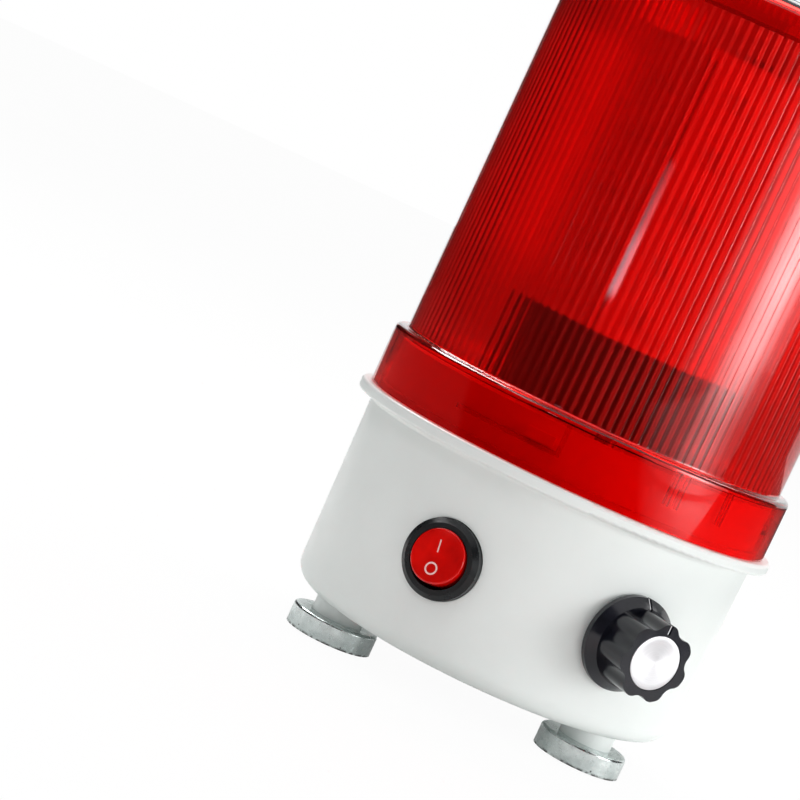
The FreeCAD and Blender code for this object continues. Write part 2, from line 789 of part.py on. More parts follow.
def make_switch():
    frame = outward("switch_azimuth", "control_height")
    body = node("switch_body")
    revolve(body, "switch_shell", [
        ("0", "barrel_back"),
        ("barrel_dia / 2", "barrel_back"),
        ("barrel_dia / 2", "bezel_seat"),
        ("bezel_dia / 2", "bezel_seat"),
        ("bezel_dia / 2", "bezel_seat + bezel_edge"),
        ("bezel_dia / 2 - bezel_bevel", "bezel_face"),
        ("opening_dia / 2", "bezel_face"),
        ("opening_dia / 2", "pivot_radius - 2 * rocker_depth"),
        ("0", "pivot_radius - 2 * rocker_depth"),
    ])
    socket = sketch_on(body, "pivot_socket_round", "YZ_Plane")
    circle(socket, "0", "pivot_radius", "pivot_dia + 2 * shaft_play")
    pocket(body, "pivot_sockets", socket, "opening_dia + 2 * pivot_reach + 2 * slip_gap", both_ways=True)
    body.Placement = frame

    make_rocker(frame)
    tabs = []
    for index in (-1, 0, 1):
        tab = doc.addObject("Part::Box", f"switch_tab_{index + 2}")
        bind(tab, "Length", "tab_width")
        bind(tab, "Width", "tab_thickness")
        bind(tab, "Height", "tab_length")
        corner = Vector(-value("tab_width") / 2, index * value("tab_pitch") - value("tab_thickness") / 2,
                        value("barrel_back - tab_length"))
        tab.Placement = frame * Placement(corner, Rotation())
        tabs.append(tab)
    group("switch_terminals", tabs)


def make_rocker(frame):
    """Round paddle with a hollow face, tilted on its pivot pins with its upper end pressed in."""
    top = "(pivot_depth + rocker_rise)"
    rocker = node("rocker")
    face = sketch_on(rocker, "rocker_round", "XY_Plane", "-rocker_depth")
    circle(face, "0", "0", "rocker_dia")
    pad(rocker, "rocker_body", face, f"rocker_depth + {top} + rocker_hollow")
    scoop = sketch_on(rocker, "rocker_scoop_round", "YZ_Plane")
    circle(scoop, "0", f"{top} + rocker_dish - rocker_hollow", "2 * rocker_dish")
    pocket(rocker, "rocker_scoop", scoop, "2 * rocker_dia", both_ways=True)
    lowest_edge = value(f"{top} - rocker_hollow") - NEAR
    round_edges(rocker, "rocker_edge", "rocker_round", lambda edge: edge.BoundBox.ZMin > lowest_edge)
    pivot_round = sketch_on(rocker, "pivot_round", "YZ_Plane")
    circle(pivot_round, "0", "0", "pivot_dia")
    pins = pad(rocker, "pivot_pins", pivot_round, "opening_dia + 2 * pivot_reach")
    pins.Midplane = True
    tilt = Rotation(Vector(1, 0, 0), -value("rocker_tilt"))
    rocker.Placement = frame * Placement(Vector(0, 0, value("pivot_radius")), tilt)


def make_pot():
    frame = outward("knob_azimuth", "control_height")
    bore = "shaft_dia / 2 + shaft_play"
    can = turned("pot_body", [
        ("0", "pot_back"),
        ("pot_dia / 2", "pot_back"),
        ("pot_dia / 2", "pot_front"),
        ("bushing_dia / 2 + glue_gap", "pot_front"),
        ("bushing_dia / 2 + glue_gap", "pot_front - pot_depth / 4"),
        (bore, "pot_front - pot_depth / 4"),
        (bore, "pot_back + pot_depth / 4"),
        ("0", "pot_back + pot_depth / 4"),
    ])
    bushing = turned("pot_bushing", ring_section(
        bore, "bushing_dia / 2", "pot_front - pot_depth / 4", "nut_seat + bushing_proud"))
    washer = turned("pot_washer", ring_section(
        "bushing_dia / 2 + slip_gap", "washer_dia / 2", "washer_seat", "nut_seat"))
    nut = hex_nut("pot_nut", "pot_nut_width", "bushing_dia + 2 * screw_play", "nut_seat", "pot_nut_height")
    shaft = turned("pot_shaft", [
        ("0", "pot_back + pot_depth / 4 + running_gap"),
        ("shaft_dia / 2", "pot_back + pot_depth / 4 + running_gap"),
        ("shaft_dia / 2", "shaft_end"),
        ("0", "shaft_end"),
    ])
    for piece in (can, bushing, washer, nut, shaft):
        piece.Placement = frame
    lugs = []
    for index in (-1, 0, 1):
        lug = doc.addObject("Part::Box", f"pot_lug_{index + 2}")
        bind(lug, "Length", "pot_lug_width")
        bind(lug, "Width", "pot_lug_length")
        bind(lug, "Height", "pot_lug_thickness")
        offset = index * value("pot_lug_pitch")
        nearest = max(abs(offset) - value("pot_lug_width") / 2, 0)
        rim = math.sqrt((value("pot_dia") / 2) ** 2 - nearest ** 2)
        corner = Vector(offset - value("pot_lug_width") / 2, rim, value("pot_back + pot_depth / 2"))
        lug.Placement = frame * Placement(corner, Rotation())
        lugs.append(lug)
    group("pot_terminals", lugs)


def make_knob():
    frame = outward("knob_azimuth", "control_height")
    body = node("knob")
    revolve(body, "knob_turn", [
        ("0", "knob_base"),
        ("knob_dia / 2", "knob_base"),
        ("knob_dia / 2", "knob_base + knob_edge"),
        ("knob_neck_dia / 2", "knob_neck"),
        ("grip_dia / 2", "knob_neck"),
        ("grip_dia / 2", "knob_face"),
        ("0", "knob_face"),
    ])
    scallop_round = sketch_on(body, "scallop_round", "XY_Plane", "knob_neck")
    between = "(90 + 180 / lobe_count)"
    reach = "(grip_dia / 2 - scallop_depth + scallop_dia / 2)"
    circle(scallop_round, f"{reach} * cos({between})", f"{reach} * sin({between})", "scallop_dia")
    scallop = pocket(body, "scallop", scallop_round, "knob_height")
    polar(body, "scallops", [scallop], "lobe_count")
    ridge_length = value("knob_face - knob_neck")
    round_edges(body, "lobe_edges", "lobe_round", lambda edge: isinstance(edge.Curve, Part.Line)
                and abs(edge.BoundBox.ZLength - ridge_length) < NEAR)
    recess = sketch_on(body, "disc_recess_round", "XY_Plane", "knob_face")
    circle(recess, "0", "0", "disc_dia + 2 * glue_gap")
    pocket(body, "disc_recess", recess, "disc_thickness", along_normal=False)
    hollow = sketch_on(body, "knob_hollow_round", "XY_Plane", "knob_base")
    circle(hollow, "0", "0", "knob_hollow_dia")
    pocket(body, "knob_hollow", hollow, "knob_hollow_depth")
    bore = sketch_on(body, "knob_bore_round", "XY_Plane", "knob_base")
    circle(bore, "0", "0", "shaft_dia + 2 * shaft_play")
    pocket(body, "knob_bore", bore, "knob_hollow_depth + shaft_grip + slip_gap")
    side = sketch_on(body, "grub_hole_round")
    circle(side, "0", "knob_base + grub_height", "grub_dia + 2 * screw_play")
    pocket(body, "grub_hole", side, "knob_dia")
    cut_pointer(body)
    body.Placement = frame

    disc = turned("knob_disc", [
        ("0", "knob_face - disc_thickness"),
        ("disc_dia / 2", "knob_face - disc_thickness"),
        ("disc_dia / 2", "knob_face"),
        ("0", "knob_face - disc_dish"),
    ])
    disc.Placement = frame
    grub = node("knob_grub_screw", "Part::Cylinder")
    bind(grub, "Radius", "grub_dia / 2")
    bind(grub, "Height", "grub_length")
    inner_end = Vector(0, -value("shaft_dia / 2 + shaft_play"), value("knob_base + grub_height"))
    grub.Placement = frame * Placement(inner_end, Rotation(Vector(1, 0, 0), 90))


def cut_pointer(body):
    """Pointer groove at the top: over the skirt, along one lobe and across the face to the disc."""
    outside = "knob_dia / 2 + pointer_depth"
    above = "knob_face + pointer_depth"
    line = sketch_on(body, "pointer_section", "YZ_Plane")
    polygon(line, [
        (outside, "knob_base"),
        (outside, above),
        ("disc_dia / 2 + pointer_depth", above),
        ("disc_dia / 2 + pointer_depth", "knob_face - pointer_depth"),
        ("grip_dia / 2 - pointer_depth", "knob_face - pointer_depth"),
        ("grip_dia / 2 - pointer_depth", "knob_neck - pointer_depth"),
        ("knob_dia / 2 - pointer_depth", "knob_base + knob_edge - pointer_depth"),
        ("knob_dia / 2 - pointer_depth", "knob_base"),
    ])
    pocket(body, "pointer", line, "pointer_width", both_ways=True)


def make_driver_board():
    board = node("driver_board")
    outline = sketch_on(board, "driver_outline", "XY_Plane", "pcb_bottom")
    rectangle(outline, "-pcb_width / 2", "-pcb_length / 2", "pcb_width / 2", "pcb_length / 2")
    screws = []
    for index, (x, y) in enumerate(pcb_corners(), start=1):
        spot_x, spot_y = pcb_corner(x, y)
        circle(outline, spot_x, spot_y, "pcb_screw_dia + 2 * slip_gap")
        screw = pan_screw(f"board_screw_{index}", "pcb_screw_dia", "pcb_screw_length",
                          "pcb_head_dia", "pcb_head_height")
        spot = Vector(value(spot_x), value(spot_y), value("pcb_bottom"))
        screw.Placement = Placement(spot, Rotation(Vector(1, 0, 0), 180))
        screws.append(screw)
    pad(board, "driver_slab", outline, "pcb_thickness")
    group("board_screws", screws)
    make_components()


def make_components():
    """Parts soldered to the underside of the driver board, side by side along it."""
    capacitor = node("filter_capacitor", "Part::Cylinder")
    bind(capacitor, "Radius", "capacitor_dia / 2")
    bind(capacitor, "Height", "capacitor_height")
    capacitor.Placement.Base = Vector(0, -value("pcb_length / 5"), value("pcb_bottom - capacitor_height"))
    inductor = turned("inductor", ring_section(
        "inductor_bore / 2", "inductor_dia / 2", "pcb_bottom - inductor_height", "pcb_bottom"))
    inductor.Placement.Base.y = value("pcb_length / 16")
    block = node("terminal_block")
    outline = sketch_on(block, "terminal_outline", "XY_Plane", "pcb_bottom")
    rectangle(outline, "-terminal_length / 2", "-terminal_width / 2",
              "terminal_length / 2", "terminal_width / 2")
    pad(block, "terminal_slab", outline, "terminal_height", down=True)
    wires = sketch_on(block, "terminal_wire_rounds")
    for index in (-1, 0, 1):
        circle(wires, f"{index} * terminal_length / 3", "pcb_bottom - terminal_height / 2",
               "terminal_length / 6")
    pocket(block, "terminal_wires", wires, "terminal_width")
    block.Placement.Base.y = value("pcb_length / 3")
    chip = node("driver_chip", "Part::Box")
    bind(chip, "Length", "chip_length")
    bind(chip, "Width", "chip_width")
    bind(chip, "Height", "chip_height")
    chip.Placement.Base = Vector(value("pcb_width / 5"), -value("chip_width / 2"),
                                 value("pcb_bottom - chip_height"))


def make_speaker():
    """Small loudspeaker that faces the holes in the floor."""
    turned("speaker_frame", [
        ("cone_edge", "floor_top"),
        ("speaker_dia / 2", "floor_top"),
        ("speaker_dia / 2", "floor_top + speaker_sheet"),
        ("cone_edge + speaker_sheet", "floor_top + speaker_sheet"),
        ("speaker_throat_dia / 2 + speaker_sheet", "speaker_back"),
        ("0", "speaker_back"),
        ("0", "speaker_back - speaker_sheet"),
        ("speaker_throat_dia / 2", "speaker_back - speaker_sheet"),
        ("cone_edge - speaker_sheet", "cone_seat"),
        ("cone_edge", "cone_seat"),
    ])
    roll = "cone_edge - 2 * speaker_sheet"
    turned("speaker_cone", [
        ("0", "cone_seat + cone_depth - cone_sheet"),
        ("cone_cap_dia / 2", "cone_seat + cone_depth - cone_sheet"),
        (roll, "cone_seat - cone_sheet"),
        ("cone_edge - glue_gap", "cone_seat - cone_sheet"),
        ("cone_edge - glue_gap", "cone_seat"),
        (roll, "cone_seat"),
        ("cone_cap_dia / 2", "cone_seat + cone_depth"),
        ("0", "cone_seat + cone_depth"),
    ])
    magnet = node("speaker_magnet", "Part::Cylinder")
    bind(magnet, "Radius", "speaker_magnet_dia / 2")
    bind(magnet, "Height", "speaker_magnet_height")
    magnet.Placement.Base.z = value("speaker_back")


def make_grommet():
    grommet = turned("cable_grommet", [
        ("cable_dia / 2", "inlet_back - grommet_flange"),
        ("grommet_dia / 2", "inlet_back - grommet_flange"),
        ("grommet_dia / 2", "inlet_back"),
        ("inlet_dia / 2", "inlet_back"),
        ("inlet_dia / 2", "inlet_seat"),
        ("grommet_dia / 2", "inlet_seat"),
        ("grommet_dia / 2", "inlet_seat + grommet_flange"),
        ("cable_dia / 2", "inlet_seat + grommet_flange"),
    ])
    grommet.Placement = outward("inlet_azimuth", "inlet_height")


make_base_housing()
make_feet()
make_lens()
make_gasket()
make_chassis_plate()
make_column()
make_led_boards()
make_switch()
make_pot()
make_knob()
make_driver_board()
make_speaker()
make_grommet()

doc.recompute()
faulty = [thing.Name for thing in doc.Objects if {"Invalid", "Error"} & set(thing.State)]
faulty += [thing.Label for thing in nodes if thing.Shape.isNull() or not thing.Shape.isValid()]
if faulty:
    raise RuntimeError("not built: " + ", ".join(faulty))
os.makedirs("parts", exist_ok=True)
for thing in nodes:
    thing.Shape.exportStep(f"parts/{thing.Label}.step")
    print(thing.Label, len(thing.Shape.Solids), round(thing.Shape.Volume, 1))
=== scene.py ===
import json
import math

import bmesh
import bpy
from mathutils import Matrix, Quaternion, Vector


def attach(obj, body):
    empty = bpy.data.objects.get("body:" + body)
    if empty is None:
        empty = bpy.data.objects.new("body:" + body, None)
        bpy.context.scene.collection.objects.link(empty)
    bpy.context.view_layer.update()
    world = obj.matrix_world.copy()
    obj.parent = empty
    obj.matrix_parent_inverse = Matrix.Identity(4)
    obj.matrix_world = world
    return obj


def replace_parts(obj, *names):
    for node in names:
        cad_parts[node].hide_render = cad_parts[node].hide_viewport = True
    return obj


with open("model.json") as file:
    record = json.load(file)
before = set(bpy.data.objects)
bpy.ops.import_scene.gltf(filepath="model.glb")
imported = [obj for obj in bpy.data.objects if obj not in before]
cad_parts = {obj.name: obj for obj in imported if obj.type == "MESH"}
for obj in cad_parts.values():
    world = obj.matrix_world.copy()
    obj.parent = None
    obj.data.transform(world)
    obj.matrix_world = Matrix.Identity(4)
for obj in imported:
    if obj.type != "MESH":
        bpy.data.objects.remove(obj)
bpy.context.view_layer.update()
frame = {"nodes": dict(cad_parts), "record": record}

MM = 0.001
# Angle in degrees past which an edge stays sharp
CREASE = 30

# Sizes in mm and degrees, as the solids have them. Heights count from the magnets' faces, azimuths from
# the front (-Y) towards the right (+X).
# Lens: wall, shoulder, skirt and flutes
LENS_RADIUS = 56.7
LENS_BORE = 54.2
LENS_WALL = 2.5
LENS_TOP = 208.0
SHOULDER_ROUND = 6.0
SKIRT_RADIUS = 60.0
SKIRT_BORE = 58.0
SKIRT_BOTTOM = 69.2
SKIRT_ROOF = 84.6
SKIRT_TOP = 86.6
SKIRT_ROUND = 1.3
SKIRT_FILLET = 0.8
FLUTES = 130
FLUTE_DEPTH = 0.14
FLUTE_HALF_WIDTH = 1.22
FLUTE_ZONE = (SKIRT_TOP, 198.0)
# Bayonet: first and last azimuth and top of the ledge, its stop and the three guides
RIB_INNER = 56.8
RIB_OUTER = 58.2
RIB_LOW = 75.5
RIBS = ((-42, -12, 76.7), (-12, -10.7, 84.9), (19.4, 20.7, 84.9), (22.4, 23.7, 84.9), (38, 39.3, 84.9))
# Column
COLUMN_FLAT = 27.28
LED_ROWS = 5
LED_PITCH = 15.76
LED_FIRST = 115.98
LED_HEIGHT = 1.6
# Switch and knob
CONTROL_HEIGHT = 38.0
SWITCH_AZIMUTH = -27.4
KNOB_AZIMUTH = 27.4
ROCKER_PIVOT = 56.6307
ROCKER_TILT = -9.0
ROCKER_DISH = 42.0
ROCKER_DISH_CENTRE = 46.95
KNOB_FACE = 73.339
KNOB_GROOVE = 0.45
DISC_RADIUS = 7.5
DISC_THICKNESS = 0.8
DISC_DISH = 0.25

# Look of the lens: lines sunk over the lands outside (share of the pitch, tangent), ridges that glint inside
# (tangent, roughness, index, haze), and the radii in mm that part the outer face of the wall from the inner.
SINK_BAND = 0.1
SINK_STEEP = 0.38
RIDGE_STEEP = 0.5
RIDGE_ROUGH = 0.28
RIDGE_INDEX = 2.8
RIDGE_HAZE = 0.07
OUTER_FROM = 56
INNER_TO = 55
POLYCARBONATE_INDEX = 1.585

# Studio in metres, with brightness in units of the white background.
FLOOR_HALF = 4
FLOOR_HEIGHT = -0.0002
FLOOR_SEEN = 0.96
FLOOR_MIRRORED = 0.15
FLAG_TOP = 2.2
FLAG_LIFT = 0.001
NET_BACK = 0.6
NET_SPLIT = 0.215
SKY_DIFFUSE = 0.46
SKY_MIRRORED = 0.3
CAMERA_PLACE = (-0.10788, -0.79269, 0.14042)
CAMERA_FORWARD = (0.0721, 0.9931, -0.0921)
CAMERA_ROLL = 24.80
CAMERA_LENS = 129.06


def linear(hex_code):
    """An sRGB hex colour as linear red, green, blue and alpha."""
    steps = [int(hex_code[i:i + 2], 16) / 255 for i in (1, 3, 5)]
    return tuple(c / 12.92 if c <= 0.04045 else ((c + 0.055) / 1.055) ** 2.4 for c in steps) + (1.0,)


def per_mm(size):
    """Texture scale that gives features of this size in mm on Object coordinates in metres."""
    return 1.0 / (size * MM)


def node(tree, kind, inputs=None, **settings):
    """Adds a node with its settings; an input is a plain value or the socket that feeds it."""
    made = tree.nodes.new(kind)
    for name, setting in settings.items():
        setattr(made, name, setting)
    for key, given in (inputs or {}).items():
        socket = made.inputs[key]
        if isinstance(given, bpy.types.NodeSocket):
            tree.links.new(given, socket)
        else:
            socket.default_value = given
    return made


def spot(radius, azimuth, height):
    """Point in metres at this radius and height in mm; azimuth in degrees from the front towards +X."""
    a = math.radians(azimuth)
    return Vector((radius * math.sin(a), -radius * math.cos(a), height)) * MM


def control_frame(azimuth, out):
    """Frame on a control's axis: x to its right, y up, z out of the wall, at a distance in mm."""
    a = math.radians(azimuth)
    turned = Matrix(((math.cos(a), 0, math.sin(a)), (math.sin(a), 0, -math.cos(a)), (0, 1, 0)))
    place = Vector((math.sin(a), -math.cos(a), 0)) * out + Vector((0, 0, CONTROL_HEIGHT))
    return Matrix.Translation(place * MM) @ turned.to_4x4()


# ---------------------------------------------------------------- finishes

def patchy(tree, place, size, pale, dark):
    """Colour socket that wanders between two tones in patches of a size in mm."""
    cloud = node(tree, "ShaderNodeTexNoise", {"Vector": place, "Scale": per_mm(size), "Detail": 4.0})
    spread = node(tree, "ShaderNodeMapRange",
                  {"Value": cloud.outputs[0], "From Min": 0.35, "From Max": 0.65})
    return node(tree, "ShaderNodeMix", {0: spread.outputs[0], 6: linear(dark), 7: linear(pale)},
                data_type="RGBA").outputs[2]


def surface(name):
    """An empty material, its node tree and its Object coordinates."""
    material = bpy.data.materials.new(name)
    material.use_nodes = True
    tree = material.node_tree
    tree.nodes.clear()
    return material, tree, node(tree, "ShaderNodeTexCoord").outputs["Object"]


def finish(name, pale, dark, patch, rough, grain, relief, stretch=(1, 1, 1), **shine):
    """A surface with two tones in patches, a range of roughness and a fine relief, sizes in mm."""
    material, tree, place = surface(name)
    drawn = node(tree, "ShaderNodeMapping", {"Vector": place, "Scale": stretch}).outputs[0]
    fine = node(tree, "ShaderNodeTexNoise", {"Vector": drawn, "Scale": per_mm(grain), "Detail": 2.0})
    wear = node(tree, "ShaderNodeTexNoise", {"Vector": drawn, "Scale": per_mm(grain * 9), "Detail": 5.0})
    gloss = node(tree, "ShaderNodeMapRange", {"Value": wear.outputs[0], "From Min": 0.3, "From Max": 0.7,
                                              "To Min": rough[0], "To Max": rough[1]})
    bump = node(tree, "ShaderNodeBump", {"Height": fine.outputs[0], "Strength": 0.35,
                                         "Distance": relief * MM})
    values = {"Base Color": patchy(tree, drawn, patch, pale, dark), "Roughness": gloss.outputs[0],
              "Normal": bump.outputs[0]}
    values.update({label.replace("_", " ").title().replace("Ior", "IOR"): v for label, v in shine.items()})
    shader = node(tree, "ShaderNodeBsdfPrincipled", values)
    node(tree, "ShaderNodeOutputMaterial", {"Surface": shader.outputs[0]})
    return material


def flute_lean(tree, place, band, steep):
    """Normal leaned to and fro round the lamp's axis, once over each land between two flutes: in a band
    that is a share of the pitch, by up to the tangent given, which may be a socket."""
    where = node(tree, "ShaderNodeSeparateXYZ", {0: place}).outputs
    turn = node(tree, "ShaderNodeMath", {0: where[0], 1: where[1]}, operation="ARCTAN2")
    phase = node(tree, "ShaderNodeMath", {0: turn.outputs[0], 1: FLUTES / math.tau}, operation="MULTIPLY")
    part = node(tree, "ShaderNodeMath", {0: phase.outputs[0]}, operation="FRACT")
    across = node(tree, "ShaderNodeMapRange",
                  {"Value": part.outputs[0], "From Min": 0.5 - band / 2, "From Max": 0.5 + band / 2,
                   "To Min": -math.pi, "To Max": math.pi})
    flank = node(tree, "ShaderNodeMath", {0: across.outputs[0]}, operation="SINE")
    tilt = node(tree, "ShaderNodeMath", {0: flank.outputs[0], 1: steep}, operation="MULTIPLY")
    face = node(tree, "ShaderNodeNewGeometry").outputs["Normal"]
    side = node(tree, "ShaderNodeVectorMath", {0: (0, 0, 1), 1: face}, operation="CROSS_PRODUCT")
    lean = node(tree, "ShaderNodeVectorMath", {0: side.outputs[0], "Scale": tilt.outputs[0]}, operation="SCALE")
    leaned = node(tree, "ShaderNodeVectorMath", {0: face, 1: lean.outputs[0]}, operation="ADD")
    return node(tree, "ShaderNodeVectorMath", {0: leaned.outputs[0]}, operation="NORMALIZE").outputs[0]


def clear_red_polycarbonate():
    """Polished polycarbonate dyed through: the wall tints what is behind it and lamps shine through it on
    the column. Outside, each land has sunk to a fine line; inside, the ridges between the flutes glint."""
    material, tree, place = surface("Polycarbonate clear red polished")
    tint = patchy(tree, place, 60, "#ff3730", "#fa332d")
    handling = node(tree, "ShaderNodeTexNoise", {"Vector": place, "Scale": per_mm(25), "Detail": 6.0})
    gloss = node(tree, "ShaderNodeMapRange", {"Value": handling.outputs[0], "From Min": 0.35, "From Max": 0.75,
                                              "To Min": 0.012, "To Max": 0.05})
    height = node(tree, "ShaderNodeSeparateXYZ", {0: place}).outputs[2]
    level = node(tree, "ShaderNodeVectorMath", {0: place, 1: (1, 1, 0)}, operation="MULTIPLY")
    radius = node(tree, "ShaderNodeVectorMath", {0: level.outputs[0]}, operation="LENGTH").outputs["Value"]
    above = node(tree, "ShaderNodeMath", {0: height, 1: FLUTE_ZONE[0] * MM}, operation="GREATER_THAN")
    below = node(tree, "ShaderNodeMath", {0: height, 1: FLUTE_ZONE[1] * MM}, operation="LESS_THAN")
    fluted = node(tree, "ShaderNodeMath", {0: above.outputs[0], 1: below.outputs[0]}, operation="MULTIPLY")
    outside = node(tree, "ShaderNodeMath", {0: radius, 1: OUTER_FROM * MM}, operation="GREATER_THAN")
    inside = node(tree, "ShaderNodeMath", {0: radius, 1: INNER_TO * MM}, operation="LESS_THAN")
    sunk = node(tree, "ShaderNodeMath", {0: fluted.outputs[0], 1: outside.outputs[0]}, operation="MULTIPLY")
    sunk_steep = node(tree, "ShaderNodeMath", {0: sunk.outputs[0], 1: SINK_STEEP}, operation="MULTIPLY")
    ridged = node(tree, "ShaderNodeMath", {0: fluted.outputs[0], 1: inside.outputs[0]}, operation="MULTIPLY")
    within = node(tree, "ShaderNodeNewGeometry").outputs["Backfacing"]
    glint = node(tree, "ShaderNodeMath", {0: ridged.outputs[0], 1: within}, operation="MULTIPLY")
    haze = node(tree, "ShaderNodeMath", {0: ridged.outputs[0], 1: RIDGE_HAZE, 2: gloss.outputs[0]},
                operation="MULTIPLY_ADD")
    shell = node(tree, "ShaderNodeBsdfPrincipled",
                 {"Base Color": tint, "Roughness": haze.outputs[0], "IOR": POLYCARBONATE_INDEX,
                  "Transmission Weight": 1.0,
                  "Normal": flute_lean(tree, place, SINK_BAND, sunk_steep.outputs[0]),
                  "Coat Weight": glint.outputs[0], "Coat Roughness": RIDGE_ROUGH, "Coat IOR": RIDGE_INDEX,
                  "Coat Normal": flute_lean(tree, place, 1.0, RIDGE_STEEP)})
    passing = node(tree, "ShaderNodeBsdfTransparent", {"Color": linear("#ff3634")})
    path = node(tree, "ShaderNodeLightPath")
    either = node(tree, "ShaderNodeMixShader", {0: path.outputs["Is Shadow Ray"], 1: shell.outputs[0],
                                                2: passing.outputs[0]})
    node(tree, "ShaderNodeOutputMaterial", {"Surface": either.outputs[0]})
    return material


def zinc_plated_steel():
    """Zinc on pressed steel: pale blue-green grey with cloudy passivation, darker in patches along its lowest
    0.75 mm, and a few dark pits where it has been knocked."""
    material, tree, place = surface("Steel zinc plated")
    height = node(tree, "ShaderNodeSeparateXYZ", {0: place}).outputs[2]
    # Darker towards the bottom: the lowest 0.75 mm of the cup, broken up in patches by noise.
    low = node(tree, "ShaderNodeMapRange", {"Value": height, "From Min": 0.15 * MM, "From Max": 0.75 * MM,
                                            "To Min": 1.0, "To Max": 0.0})
    rub = node(tree, "ShaderNodeTexNoise", {"Vector": place, "Scale": per_mm(1.6), "Detail": 5.0})
    lower_edge_breakup = node(tree, "ShaderNodeMapRange", {"Value": rub.outputs[0], "From Min": 0.4, "From Max": 0.55})
    edge = node(tree, "ShaderNodeMath", {0: low.outputs[0], 1: lower_edge_breakup.outputs[0]}, operation="MULTIPLY")
    knocks = node(tree, "ShaderNodeTexVoronoi", {"Vector": place, "Scale": per_mm(3.5)})
    pits = node(tree, "ShaderNodeMapRange", {"Value": knocks.outputs["Distance"], "From Min": 0.05,
                                             "From Max": 0.09, "To Min": 0.9, "To Max": 0.0})
    darkening = node(tree, "ShaderNodeMath", {0: edge.outputs[0], 1: pits.outputs[0]}, operation="MAXIMUM")
    tone = node(tree, "ShaderNodeMix", {0: darkening.outputs[0], 6: patchy(tree, place, 5, "#e2e9e8", "#c6cfce"),
                                        7: linear("#34332f")}, data_type="RGBA")
    gloss = node(tree, "ShaderNodeMapRange", {"Value": rub.outputs[0], "From Min": 0.3, "From Max": 0.7,
                                              "To Min": 0.16, "To Max": 0.32})
    fine = node(tree, "ShaderNodeTexNoise", {"Vector": place, "Scale": per_mm(0.35), "Detail": 2.0})
    bump = node(tree, "ShaderNodeBump", {"Height": fine.outputs[0], "Strength": 0.35, "Distance": 0.015 * MM})
    shader = node(tree, "ShaderNodeBsdfPrincipled",
                  {"Base Color": tone.outputs[2], "Metallic": 1.0, "Roughness": gloss.outputs[0],
                   "Normal": bump.outputs[0]})
    node(tree, "ShaderNodeOutputMaterial", {"Surface": shader.outputs[0]})
    return material


def spun_aluminium():
    """Aluminium turned to a fine spiral and anodised clear: rings too fine to see, drawn 0.25 mm apart,
    that spread the light in fans round the middle."""
    material, tree, _ = surface("Aluminium spun clear anodised")
    spacing = 0.25
    rings = node(tree, "ShaderNodeUVMap", uv_map="spiral")
    around = node(tree, "ShaderNodeMapping",
                  {"Vector": rings.outputs[0], "Scale": (6, DISC_RADIUS / spacing, 1)})
    lines = node(tree, "ShaderNodeTexNoise", {"Vector": around.outputs[0], "Scale": 1.0, "Detail": 3.0})
    tone = node(tree, "ShaderNodeMix", {0: lines.outputs[0], 6: linear("#c6c7ca"), 7: linear("#e0e0e2")},
                data_type="RGBA")
    gloss = node(tree, "ShaderNodeMapRange", {"Value": lines.outputs[0], "To Min": 0.36, "To Max": 0.5})
    bump = node(tree, "ShaderNodeBump", {"Height": lines.outputs[0], "Strength": 0.2, "Distance": 0.02 * MM})
    grain = node(tree, "ShaderNodeTangent", direction_type="UV_MAP", uv_map="spiral")
    shader = node(tree, "ShaderNodeBsdfPrincipled",
                  {"Base Color": tone.outputs[2], "Metallic": 1.0, "Roughness": gloss.outputs[0],
                   "Anisotropic": 0.4, "Tangent": grain.outputs[0], "Normal": bump.outputs[0]})
    node(tree, "ShaderNodeOutputMaterial", {"Surface": shader.outputs[0]})
    return material


